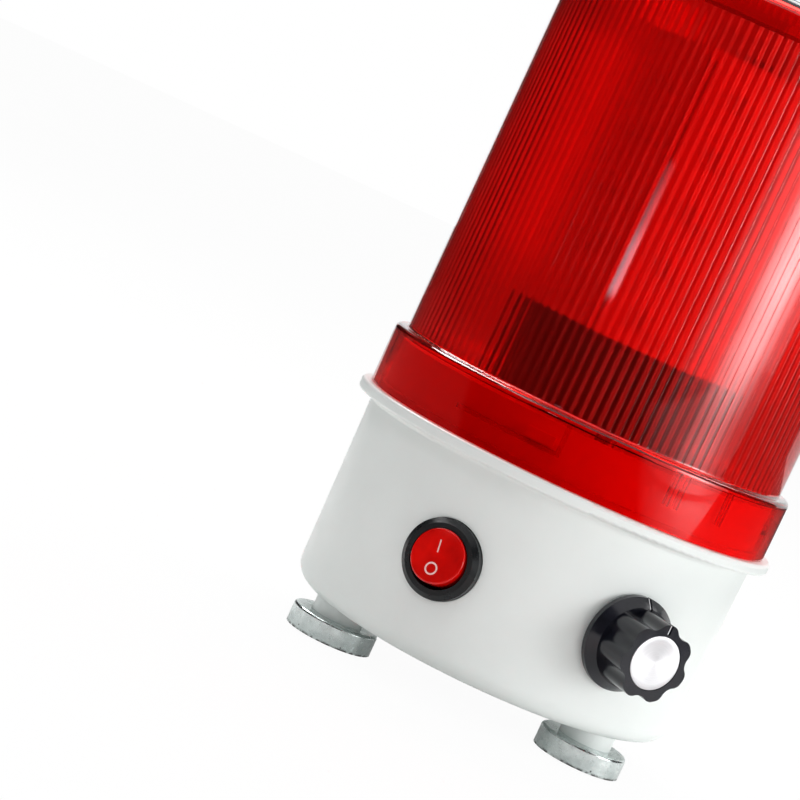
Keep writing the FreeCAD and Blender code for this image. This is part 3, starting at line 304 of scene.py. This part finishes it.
FINISHES = {
    # Moulded ABS: even off-white, satin, with the faint orange peel of a spark-eroded mould.
    "white_abs": finish("ABS white moulded satin", "#ebf1ef", "#e5ebe9", 45, (0.3, 0.42), 0.9, 0.03),
    # Clear red cover and its ribs.
    "red_polycarbonate": clear_red_polycarbonate(),
    # Glass-filled nylon: charcoal with a fine texture and a soft sheen on its bevels.
    "black_nylon": finish("Nylon black moulded fine", "#15181b", "#0e1012", 8, (0.24, 0.36), 0.4, 0.02,
                          specular_ior_level=0.35),
    # Black ABS block that the column stands on, dulled by the haze of its mould.
    "black_abs": finish("ABS black moulded", "#2c2c2d", "#252526", 20, (0.35, 0.45), 0.7, 0.02,
                        specular_ior_level=1.0),
    # Red polycarbonate rocker: glossy, deep red, with light inside it.
    "red_rocker": finish("Polycarbonate red moulded", "#e20c06", "#bc0402", 9, (0.1, 0.2), 1.5, 0.01,
                         specular_ior_level=0.3, coat_weight=0.2, coat_roughness=0.08, subsurface_weight=0.35,
                         subsurface_radius=(0.004, 0.0004, 0.0003), subsurface_scale=0.6),
    # Phenolic knob: blue-black and satin, polished a little where fingers turn it.
    "black_phenolic": finish("Phenolic black moulded", "#1a1b24", "#12131a", 6, (0.13, 0.24), 0.5, 0.015),
    # Bright disc of the knob and grey magnet cups.
    "spun_aluminium": spun_aluminium(),
    "zinc_steel": zinc_plated_steel(),
    # Sintered ferrite: dark grey, dry, with open pores.
    "ferrite": finish("Ferrite sintered", "#3a3a3d", "#262628", 3, (0.55, 0.75), 0.3, 0.06),
    # Bright zinc on screws: blue-grey metal with small dull spots.
    "screw_steel": finish("Steel zinc plated bright", "#c2c4c6", "#a2a4a7", 3, (0.22, 0.38), 0.25, 0.02,
                          metallic=1.0),
    # Tinned tabs: warm grey metal, dull where it was pressed.
    "tinned_brass": finish("Brass tinned", "#cfccc4", "#b4aea2", 3, (0.3, 0.45), 0.3, 0.02, metallic=1.0),
    # Nickel on turned brass: faintly yellow, bright.
    "nickel_brass": finish("Brass nickel plated", "#cbc8bd", "#b3ad9e", 4, (0.18, 0.32), 0.25, 0.01,
                           metallic=1.0),
    # Pressed can: drawn marks along its height.
    "pot_steel": finish("Steel pressed tinned", "#c1c1be", "#a5a5a3", 5, (0.26, 0.42), 0.3, 0.02,
                        stretch=(1, 1, 0.15), metallic=1.0),
    # Rubber grommet: dry charcoal without shine.
    "black_rubber": finish("Nitrile rubber moulded", "#232323", "#191919", 6, (0.55, 0.72), 0.5, 0.04),
    # Silicone: soft white, dull, a little cloudy.
    "white_silicone": finish("Silicone white moulded", "#e6e6e2", "#dcdcd7", 9, (0.45, 0.6), 0.6, 0.02,
                             subsurface_weight=0.2, subsurface_radius=(0.001, 0.001, 0.001)),
    # Nylon plate: creamy white, soft sheen.
    "white_nylon": finish("Nylon white moulded", "#e4e4df", "#dadad4", 18, (0.4, 0.55), 0.8, 0.03),
    # Solder mask over copper: white, a little uneven where the tracks run below it.
    "white_board": finish("Glass laminate white mask", "#e6e6e2", "#dededa", 7, (0.35, 0.5), 0.6, 0.04),
    # Emitter packages: warm white and smooth.
    "led_package": finish("Polyphthalamide white moulded", "#f2f0e6", "#e6e2d2", 2, (0.3, 0.45), 0.3, 0.02),
    # Green solder mask: deep green with a slight gloss.
    "green_board": finish("Glass laminate green mask", "#1f6b3a", "#17532d", 4, (0.25, 0.4), 0.5, 0.04),
    # Shrunk sleeve: dark blue, glossy, a little wavy.
    "capacitor_sleeve": finish("Polyester sleeve shrunk", "#2c3c66", "#223056", 9, (0.2, 0.34), 0.8, 0.03),
    # Terminal block: leaf green and matt.
    "green_polyamide": finish("Polyamide green moulded", "#3f9a58", "#338449", 6, (0.4, 0.55), 0.5, 0.03),
    # Moulding compound: near black and grainy.
    "chip_epoxy": finish("Epoxy black moulded", "#262628", "#1c1c1e", 3, (0.5, 0.65), 0.25, 0.03),
    # Lacquered frame: black with a soft shine.
    "speaker_steel": finish("Steel black lacquered", "#2b2b2b", "#202020", 8, (0.3, 0.45), 0.6, 0.02),
    # Pressed paper cone: grey-brown and fibrous.
    "cone_paper": finish("Paper pressed", "#4a4540", "#39352f", 2, (0.8, 0.95), 0.4, 0.08),
}
# Pad-printed ink: flat pinkish white, a little thin at its edges.
MARK_INK = finish("Ink pad printed", "#ffd9d6", "#f5bdb8", 0.8, (0.4, 0.5), 0.2, 0.01)
# Painted highlight: white paint where the left edge of the pointer groove catches the light; thin and slightly
# dull.
POINTER_HIGHLIGHT_PAINT = finish("White paint for a highlight", "#f4f4f6", "#d9dadf", 0.6, (0.25, 0.4), 0.2, 0.01)
# Phosphor in clear silicone: warm yellow and slightly tacky-looking.
PHOSPHOR = finish("Silicone with phosphor", "#f1d76a", "#dfbd45", 1.2, (0.15, 0.3), 0.2, 0.02)

for part in frame["record"]["subparts"]:
    skin = frame["nodes"][part["node"]].data.materials
    skin.clear()
    skin.append(FINISHES[part["material_slot"]])


# ---------------------------------------------------------------- repeats about the lamp's axis

def axis_repeat_tree():
    """Geometry nodes that stack a shape in rows and repeat the stack about the lamp's axis."""
    tree = bpy.data.node_groups.new("repeat about the lamp axis", "GeometryNodeTree")
    keys = {}
    for label, kind in (("Shape", "Geometry"), ("Rows", "Int"), ("Pitch", "Float"), ("Count", "Int"),
                        ("Step", "Float"), ("Weld", "Float"), ("Finish", "Material")):
        socket = tree.interface.new_socket(label, in_out="INPUT", socket_type="NodeSocket" + kind)
        keys[label] = socket.identifier
    tree.interface.new_socket("Repeated", in_out="OUTPUT", socket_type="NodeSocketGeometry")
    given = node(tree, "NodeGroupInput").outputs
    rise = node(tree, "ShaderNodeCombineXYZ", {"Z": given["Pitch"]})
    rows = node(tree, "GeometryNodeMeshLine", {"Count": given["Rows"], "Offset": rise.outputs[0]})
    stack = node(tree, "GeometryNodeInstanceOnPoints", {"Points": rows.outputs[0], "Instance": given["Shape"]})
    middle = node(tree, "GeometryNodeMeshLine", {"Count": given["Count"], "Offset": (0, 0, 0)})
    order = node(tree, "GeometryNodeInputIndex")
    angle = node(tree, "ShaderNodeMath", {0: order.outputs[0], 1: given["Step"]}, operation="MULTIPLY")
    turn = node(tree, "FunctionNodeAxisAngleToRotation", {"Axis": (0, 0, 1), "Angle": angle.outputs[0]})
    ring = node(tree, "GeometryNodeInstanceOnPoints",
                {"Points": middle.outputs[0], "Instance": stack.outputs[0], "Rotation": turn.outputs[0]})
    real = node(tree, "GeometryNodeRealizeInstances", {"Geometry": ring.outputs[0]})
    joined = node(tree, "GeometryNodeMergeByDistance", {"Geometry": real.outputs[0], "Distance": given["Weld"]})
    painted = node(tree, "GeometryNodeSetMaterial",
                   {"Geometry": joined.outputs[0], "Material": given["Finish"]})
    node(tree, "NodeGroupOutput", {0: painted.outputs[0]})
    return tree, keys


AXIS_REPEAT, AXIS_KEYS = axis_repeat_tree()


def add_piece(name, mesh, body, skin=None):
    """A finished piece: smooth, with its edges kept sharp past an angle, riding on a body."""
    if skin is not None:
        mesh.materials.clear()
        mesh.materials.append(skin)
    mesh.polygons.foreach_set("use_smooth", [True] * len(mesh.polygons))
    mesh.set_sharp_from_angle(angle=math.radians(CREASE))
    piece = bpy.data.objects.new(name, mesh)
    bpy.context.scene.collection.objects.link(piece)
    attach(piece, body)
    return piece


def repeated(name, shape, body, skin, count, step, rows=1, pitch=0.0, weld=1e-6):
    """A piece made of one shape repeated by the nodes; pitch in mm, step in degrees."""
    seed = bpy.data.objects.new(name + "_shape", shape)
    bpy.context.scene.collection.objects.link(seed)
    nodes = seed.modifiers.new("repeat", "NODES")
    nodes.node_group = AXIS_REPEAT
    for label, given in (("Rows", rows), ("Pitch", pitch * MM), ("Count", count),
                         ("Step", math.radians(step)), ("Weld", weld), ("Finish", skin)):
        nodes[AXIS_KEYS[label]] = given
    shown = seed.evaluated_get(bpy.context.evaluated_depsgraph_get())
    mesh = bpy.data.meshes.new_from_object(shown)
    bpy.data.objects.remove(seed)
    mesh.name = name
    return add_piece(name, mesh, body)


def mesh_of(name, shape):
    """Mesh from a bmesh, its normals turned outwards."""
    bmesh.ops.recalc_face_normals(shape, faces=shape.faces)
    mesh = bpy.data.meshes.new(name)
    shape.to_mesh(mesh)
    shape.free()
    return mesh


def arc(centre, radius, first, last, steps):
    """Points of an arc in a section, angles in degrees."""
    angles = [math.radians(first + (last - first) * i / steps) for i in range(steps + 1)]
    return [(centre[0] + radius * math.cos(a), centre[1] + radius * math.sin(a)) for a in angles]


# ---------------------------------------------------------------- lens

def lens_sector():
    """One flute of the cover with half a land on each side, as a strip from pole to pole. Extra rings
    halfway in on the top and beside the rounds keep the flat faces flat in the light."""
    low, high = FLUTE_ZONE
    halfway, beside = 25.0, 0.3
    shoulder = (LENS_RADIUS - SHOULDER_ROUND, LENS_TOP - SHOULDER_ROUND)
    fillet = (LENS_RADIUS + SKIRT_FILLET, SKIRT_TOP + SKIRT_FILLET)
    edge = (SKIRT_RADIUS - SKIRT_ROUND, SKIRT_TOP - SKIRT_ROUND)
    outside = [(0.0, LENS_TOP), (halfway, LENS_TOP)] + arc(shoulder, SHOULDER_ROUND, 90, 0, 10)
    outside += [(LENS_RADIUS, shoulder[1] - beside), (LENS_RADIUS, fillet[1] + beside)]
    outside += arc(fillet, SKIRT_FILLET, 180, 270, 5) + arc(edge, SKIRT_ROUND, 90, 0, 7)
    outside += [(SKIRT_RADIUS, edge[1] - beside), (SKIRT_RADIUS, SKIRT_BOTTOM)]
    inside = [(SKIRT_BORE, SKIRT_BOTTOM), (SKIRT_BORE, SKIRT_ROOF), (LENS_BORE, SKIRT_ROOF)]
    inside += [(LENS_BORE, low), (LENS_BORE, low)]
    grooved = len(outside) + len(inside) - 1
    inside += [(LENS_BORE, high), (LENS_BORE, high)] + arc(shoulder, SHOULDER_ROUND - LENS_WALL, 0, 90, 8)
    inside += [(halfway, LENS_TOP - LENS_WALL), (0.0, LENS_TOP - LENS_WALL)]
    half_pitch = 180.0 / FLUTES
    cutter = (FLUTE_HALF_WIDTH ** 2 + FLUTE_DEPTH ** 2) / (2 * FLUTE_DEPTH)
    columns = [(-half_pitch, 0.0)]
    for step in range(-3, 4):
        across = FLUTE_HALF_WIDTH * step / 3
        deep = math.sqrt(cutter ** 2 - across ** 2) - cutter + FLUTE_DEPTH
        columns.append((math.degrees(across / LENS_BORE), deep))
    columns.append((half_pitch, 0.0))
    shape = bmesh.new()
    grid = []
    for index, (radius, height) in enumerate(outside + inside):
        cut = index in (grooved, grooved + 1)
        grid.append([shape.verts.new(spot(radius + deep * cut, azimuth, height)) for azimuth, deep in columns])
    for upper, lower in zip(grid, grid[1:]):
        for i in range(len(columns) - 1):
            shape.faces.new((upper[i], lower[i], lower[i + 1], upper[i + 1]))
    bmesh.ops.remove_doubles(shape, verts=shape.verts, dist=1e-7)
    return mesh_of("lens_sector", shape)


def bayonet_rib_set():
    """One lock of the bayonet inside the skirt: a ledge, its stop and the guides of its entry."""
    shape = bmesh.new()
    for first, last, high in RIBS:
        section = ((RIB_INNER, RIB_LOW), (RIB_OUTER, RIB_LOW), (RIB_OUTER, high), (RIB_INNER, high))
        steps = max(1, round((last - first) / 2))
        rings = []
        for i in range(steps + 1):
            azimuth = first + (last - first) * i / steps
            rings.append([shape.verts.new(spot(r, azimuth, z)) for r, z in section])
        for a, b in zip(rings, rings[1:]):
            for i in range(4):
                shape.faces.new((a[i], a[(i + 1) % 4], b[(i + 1) % 4], b[i]))
        shape.faces.new(rings[0])
        shape.faces.new(reversed(rings[-1]))
    return mesh_of("bayonet_rib_set", shape)


lens_cover = repeated("lens_cover", lens_sector(), "lens", FINISHES["red_polycarbonate"],
                      count=FLUTES, step=360.0 / FLUTES, weld=2e-6)
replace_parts(lens_cover, "lens")
repeated("lens_bayonet_ribs", bayonet_rib_set(), "lens", FINISHES["red_polycarbonate"],
         count=3, step=120.0)


# ---------------------------------------------------------------- column

def led_window():
    """The phosphor window of one emitter, a low dome in its white package."""
    shape = bmesh.new()
    face = -(COLUMN_FLAT + LED_HEIGHT) * MM
    sides = 20
    rings = []
    # Radius and height over the package's face, in mm
    for radius, proud in ((2.05, -0.05), (2.05, 0.02), (1.6, 0.16), (0.9, 0.24)):
        rings.append([shape.verts.new((radius * MM * math.cos(a), face - proud * MM,
                                       LED_FIRST * MM + radius * MM * math.sin(a)))
                      for a in (math.tau * i / sides for i in range(sides))])
    for a, b in zip(rings, rings[1:]):
        for i in range(sides):
            shape.faces.new((a[i], a[(i + 1) % sides], b[(i + 1) % sides], b[i]))
    shape.faces.new(rings[0])
    shape.faces.new(rings[-1])
    return mesh_of("led_window", shape)


repeated("led_windows", led_window(), "base", PHOSPHOR, rows=LED_ROWS, pitch=LED_PITCH,
         count=6, step=60.0)


# ---------------------------------------------------------------- switch and knob

def rocker_marks():
    """On and off marks, pads that follow the hollow of the rocker's face."""
    at = control_frame(SWITCH_AZIMUTH, ROCKER_PIVOT) @ Matrix.Rotation(math.radians(ROCKER_TILT), 4, "X")
    shape = bmesh.new()

    def on_face(x, y, lift):
        """Point in metres over a place on the hollow face, lifted off it by so many mm."""
        hollow = ROCKER_DISH_CENTRE - math.sqrt(ROCKER_DISH ** 2 - y ** 2)
        return at @ (Vector((x, y, hollow + lift)) * MM)

    def pad(outer, inner):
        """Pad between two lines of points on the face, closed to a ring where the lines close."""
        rows = []
        for line in (outer, inner):
            for lift in (0.04, -0.06):
                rows.append([shape.verts.new(on_face(x, y, lift)) for x, y in line])
        top_out, low_out, top_in, low_in = rows
        closed = (Vector(outer[0]) - Vector(outer[-1])).length < 1e-6
        for i in range(len(outer) - 1):
            j = i + 1
            shape.faces.new((top_out[i], top_out[j], top_in[j], top_in[i]))
            shape.faces.new((low_in[i], low_in[j], low_out[j], low_out[i]))
            shape.faces.new((low_out[i], low_out[j], top_out[j], top_out[i]))
            shape.faces.new((top_in[i], top_in[j], low_in[j], low_in[i]))
        if not closed:
            for i in (0, -1):
                shape.faces.new((top_out[i], top_in[i], low_in[i], low_out[i]))

    # Stroke: its slant, and its middle, length and half width in mm
    slant, middle, length, half_width = math.radians(10), Vector((-0.8, 2.6)), 3.4, 0.18
    lean = Vector((-math.sin(slant), math.cos(slant)))
    stroke = [middle + lean * (length * i / 10 - length / 2) for i in range(11)]
    pad([(x + half_width, y) for x, y in stroke], [(x - half_width, y) for x, y in stroke])
    # Ring: its middle, and its outer and inner radius in mm
    across, up, radii = 0.1, -3.6, (1.75, 1.3)
    turns = [math.tau * i / 48 for i in range(49)]
    pad(*([(across + r * math.cos(a), up + r * math.sin(a)) for a in turns] for r in radii))
    bmesh.ops.remove_doubles(shape, verts=shape.verts, dist=1e-7)
    return mesh_of("rocker_marks", shape)


def knob_pointer_painted_highlight():
    """Painted highlight: a white strip along the left side of the pointer groove, on the skirt's bevel and on
    the face, where the groove's edge catches the light.
    """
    at = control_frame(KNOB_AZIMUTH, KNOB_FACE)
    shape = bmesh.new()
    near, far = 0.01 - KNOB_GROOVE, 0.24 - KNOB_GROOVE
    # Distance from the axis and depth under the face, in mm: on the bevel, then on the face
    for section in (((13.3, -13.62), (11.17, -11.04), (10.86, -11.3), (12.99, -13.88)),
                    ((10.72, -0.03), (8.25, -0.03), (8.25, -0.4), (10.72, -0.4))):
        sides = [[shape.verts.new(at @ (Vector((x, y, z)) * MM)) for y, z in section] for x in (near, far)]
        for i in range(4):
            shape.faces.new((sides[0][i], sides[0][(i + 1) % 4], sides[1][(i + 1) % 4], sides[1][i]))
        shape.faces.new(sides[0])
        shape.faces.new(reversed(sides[1]))
    return mesh_of("knob_pointer_painted_highlight", shape)


def knob_disc_sheet():
    """The dished disc in the knob's face, with a spiral map: round it and out from its middle."""
    at = control_frame(KNOB_AZIMUTH, KNOB_FACE)
    shape = bmesh.new()
    layer = shape.loops.layers.uv.new("spiral")
    # Radius and height over the face, in mm: the dish, its rounded edge, the side and the back
    section = [(0.0, -DISC_DISH)]
    section += [(r, DISC_DISH * (r / DISC_RADIUS - 1)) for r in (1.2, 2.4, 3.6, 4.8, 6.0, 7.1)]
    section += [(7.4, -0.06), (DISC_RADIUS, -0.16), (DISC_RADIUS, -DISC_THICKNESS), (0.0, -DISC_THICKNESS)]
    count = 72
    rows = [[shape.verts.new(at @ (Vector((r * math.cos(a), r * math.sin(a), z)) * MM))
             for a in (math.tau * i / count for i in range(count))] for r, z in section]
    for k in range(len(section) - 1):
        for i in range(count):
            j = (i + 1) % count
            made = shape.faces.new((rows[k][i], rows[k][j], rows[k + 1][j], rows[k + 1][i]))
            for loop, (u, v) in zip(made.loops, ((i, k), (i + 1, k), (i + 1, k + 1), (i, k + 1))):
                loop[layer].uv = (u / count, section[v][0] / DISC_RADIUS)
    bmesh.ops.remove_doubles(shape, verts=shape.verts, dist=1e-7)
    return mesh_of("knob_disc_sheet", shape)


add_piece("rocker_marks", rocker_marks(), "rocker", MARK_INK)
# White strip painted as the highlight on the lit left edge of the knob's pointer groove.
add_piece("knob_pointer_painted_highlight", knob_pointer_painted_highlight(), "knob", POINTER_HIGHLIGHT_PAINT)
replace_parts(add_piece("knob_disc_sheet", knob_disc_sheet(), "knob",
                      FINISHES["spun_aluminium"]), "knob_disc")


# ---------------------------------------------------------------- floor, light and camera

def panel(name, corners, skin):
    """A flat sheet of the studio, not part of the object."""
    mesh = bpy.data.meshes.new(name)
    mesh.from_pydata(corners, [], [tuple(range(len(corners)))])
    mesh.materials.append(skin)
    sheet = bpy.data.objects.new(name, mesh)
    bpy.context.scene.collection.objects.link(sheet)
    return sheet


def standing(first, last, low, high):
    """Corners of an upright sheet over a line on the floor, in metres."""
    return [(*first, low), (*last, low), (*last, high), (*first, high)]


def lying(left, near, right, far, height):
    """Corners of a level sheet, in metres."""
    return [(left, near, height), (right, near, height), (right, far, height), (left, far, height)]


def floor_paint():
    """White paper sweep: seen almost white, with the soft shadow under the feet kept."""
    material, tree, place = surface("Paper white sweep")
    paper = patchy(tree, place, 90, "#f6f6f5", "#f1f1f0")
    matt = node(tree, "ShaderNodeBsdfPrincipled", {"Base Color": paper, "Roughness": 0.9})
    white = node(tree, "ShaderNodeEmission", {"Color": (1, 1, 1, 1), "Strength": 1.0})
    path = node(tree, "ShaderNodeLightPath")
    mirrored = node(tree, "ShaderNodeMath", {0: path.outputs["Is Glossy Ray"], 1: FLOOR_MIRRORED},
                    operation="MULTIPLY")
    share = node(tree, "ShaderNodeMath",
                 {0: path.outputs["Is Camera Ray"], 1: FLOOR_SEEN, 2: mirrored.outputs[0]},
                 operation="MULTIPLY_ADD")
    mixed = node(tree, "ShaderNodeMixShader", {0: share.outputs[0], 1: matt.outputs[0], 2: white.outputs[0]})
    node(tree, "ShaderNodeOutputMaterial", {"Surface": mixed.outputs[0]})
    return material


def flag_cloth():
    """Black felt of the studio's flags, which keep stray white off the cover."""
    return finish("Felt black", "#101010", "#060606", 3, (0.9, 1.0), 0.8, 0.1)


def graded_cloth():
    """Felt that fades from black to white towards the right, for a soft end to what the cover mirrors."""
    material, tree, place = surface("Felt black to white")
    right = node(tree, "ShaderNodeSeparateXYZ", {0: place}).outputs[0]
    fade = node(tree, "ShaderNodeMapRange", {"Value": right, "From Min": 0.45, "From Max": 0.95})
    tone = node(tree, "ShaderNodeMix", {0: fade.outputs[0], 6: linear("#080808"), 7: linear("#e8e8e8")},
                data_type="RGBA")
    cloth = node(tree, "ShaderNodeBsdfDiffuse", {"Color": tone.outputs[2]})
    node(tree, "ShaderNodeOutputMaterial", {"Surface": cloth.outputs[0]})
    return material


def net_cloth(share):
    """Black net that holds back a share of the light seen through it."""
    material, tree, _ = surface("Net black")
    cloth = node(tree, "ShaderNodeBsdfPrincipled",
                 {"Base Color": linear("#080808"), "Roughness": 1.0, "Alpha": share})
    node(tree, "ShaderNodeOutputMaterial", {"Surface": cloth.outputs[0]})
    return material


EVEN = ((0.0, 1.0), (1.0, 1.0))


def lamp(name, place, aim, width, height, radiance, colour="#ffffff", across=EVEN, upwards=EVEN):
    """A soft box: place and aim in metres, radiance in units of the white background; across and upwards
    are steps of place and brightness over its face."""
    light = bpy.data.lights.new(name, "AREA")
    light.shape = "RECTANGLE"
    light.size, light.size_y = width, height
    light.energy = radiance * math.pi * width * height
    light.color = linear(colour)[:3]
    light.use_nodes = True
    tree = light.node_tree
    tree.nodes.clear()
    face = node(tree, "ShaderNodeSeparateXYZ", {0: node(tree, "ShaderNodeNewGeometry").outputs["Parametric"]})
    share = []
    for axis, steps in ((0, across), (1, upwards)):
        ramp = node(tree, "ShaderNodeValToRGB", {"Fac": face.outputs[axis]})
        ramp.color_ramp.interpolation = "EASE"
        stops = ramp.color_ramp.elements
        for place_on, _ in steps[1:-1]:
            stops.new(place_on)
        for stop, (_, level) in zip(stops, steps):
            stop.color = (level, level, level, 1.0)
        share.append(ramp.outputs[0])
    both = node(tree, "ShaderNodeMath", {0: share[0], 1: share[1]}, operation="MULTIPLY")
    glow = node(tree, "ShaderNodeEmission", {"Strength": both.outputs[0]})
    node(tree, "ShaderNodeOutputLight", {"Surface": glow.outputs[0]})
    box = bpy.data.objects.new(name, light)
    box.location = place
    box.rotation_euler = (Vector(aim) - Vector(place)).to_track_quat("-Z", "Y").to_euler()
    box.visible_camera = False
    bpy.context.scene.collection.objects.link(box)
    return box


panel("floor", lying(-FLOOR_HALF, -FLOOR_HALF, FLOOR_HALF, FLOOR_HALF, FLOOR_HEIGHT), floor_paint())
felt, graded = flag_cloth(), graded_cloth()
# Flags show only as dark shapes mirrored in shiny faces; some are also seen through the cover.
for name, corners, skin, seen_through in (
    ("flag_front", standing((-2.0, -1.7), (2.0, -1.7), 0, FLAG_TOP), felt, True),
    ("flag_left", standing((-1.7, -2.0), (-1.7, 2.0), 0, FLAG_TOP), felt, True),
    ("flag_floor", lying(-2.0, -1.7, 2.0, -0.3, FLAG_LIFT), graded, True),
    ("flag_floor_left", lying(-1.7, -0.3, -0.25, 1.7, FLAG_LIFT), felt, False),
    ("flag_floor_right", lying(0.3, -0.3, 1.7, 1.2, FLAG_LIFT), felt, False),
    ("flag_right", standing(spot(1500, 80, 0).xy, spot(1500, 130, 0).xy, 0, FLAG_TOP), felt, False),
    ("flag_back_left", standing((-2.0, 1.7), (-0.3, 1.7), 0, FLAG_TOP), felt, False),
):
    flag = panel(name, corners, skin)
    flag.visible_camera = flag.visible_diffuse = flag.visible_shadow = False
    flag.visible_transmission = seen_through
# Nets dim only what is seen through the cover, on its left and above the column.
for name, share, corners in (
    ("net_behind", 0.3, standing((-0.4, NET_BACK), (0.09, NET_BACK), FLAG_LIFT, NET_SPLIT)),
    ("net_above", 0.6, standing((-0.4, NET_BACK), (0.5, NET_BACK), NET_SPLIT, 0.7)),
):
    net = panel(name, corners, net_cloth(share))
    net.visible_camera = net.visible_diffuse = net.visible_glossy = net.visible_shadow = False

lamp("soft_box_right", spot(1000, 50, 255), (0, 0, 0.255), 1.0, 0.5, 9.6,
     across=((0.0, 0.0), (0.08, 0.06), (0.33, 0.12), (0.5, 0.7), (0.6, 1.0), (0.7, 1.0), (0.82, 0.4),
             (0.92, 0.05), (1.0, 0.0)),
     upwards=((0.0, 0.12), (0.07, 0.22), (0.2, 0.7), (0.29, 1.0), (1.0, 1.0)))
lamp("strip_left", spot(1400, -25.5, 132), (0, 0, 0.132), 0.17, 0.109, 4.5, "#fff0ff",
     across=((0.0, 0.0), (0.3, 1.0), (0.7, 1.0), (1.0, 0.0)),
     upwards=((0.0, 0.0), (0.08, 1.0), (0.35, 0.9), (0.6, 0.35), (1.0, 0.1)))
lamp("soft_box_over", (0.1, 0.45, 0.92), (0, 0, 0.1), 1.3, 0.4, 5.0)
# A sheet that only adds glints to rounded edges.
glint = lamp("sheet_over_left", (-0.48, 0.47, 0.95), (0, 0, 0.08), 0.7, 0.6, 12.0)
glint.visible_diffuse = glint.visible_transmission = False
glint.data.cycles.max_bounces = 1
lamp("soft_box_top_left", spot(770, -55, 920), (0, 0, 0.10), 0.4, 0.4, 3.0)

world = bpy.data.worlds.new("studio")
world.use_nodes = True
sky = world.node_tree
sky.nodes.clear()
ray = node(sky, "ShaderNodeLightPath").outputs
# White for camera, glossy and transmission rays, less for light mirrored inside the cover, a plain level else.
seen, through = ray["Is Camera Ray"], ray["Is Transmission Ray"]
first = node(sky, "ShaderNodeMath", {0: seen, 1: ray["Is Glossy Ray"]}, operation="MAXIMUM")
plain = node(sky, "ShaderNodeMath", {0: first.outputs[0], 1: through}, operation="MAXIMUM")
mirrored = node(sky, "ShaderNodeMath", {0: ray["Glossy Depth"], 1: through}, operation="MULTIPLY")
inner = node(sky, "ShaderNodeMapRange", {"Value": mirrored.outputs[0], "To Min": 1.0, "To Max": SKY_MIRRORED})
level = node(sky, "ShaderNodeMapRange",
             {"Value": plain.outputs[0], "To Min": SKY_DIFFUSE, "To Max": inner.outputs[0]})
glow = node(sky, "ShaderNodeBackground", {"Color": (1, 1, 1, 1), "Strength": level.outputs[0]})
node(sky, "ShaderNodeOutputWorld", {"Surface": glow.outputs[0]})
bpy.context.scene.world = world
bpy.context.scene.view_settings.view_transform = "Standard"

view = bpy.data.cameras.new("photo_view")
view.sensor_width = 36.0
view.lens = CAMERA_LENS
camera = bpy.data.objects.new("photo_view", view)
camera.location = CAMERA_PLACE
camera.rotation_mode = "QUATERNION"
level_view = Vector(CAMERA_FORWARD).to_track_quat("-Z", "Y")
camera.rotation_quaternion = level_view @ Quaternion((0, 0, 1), math.radians(CAMERA_ROLL))
bpy.context.scene.collection.objects.link(camera)
bpy.context.scene.camera = camera
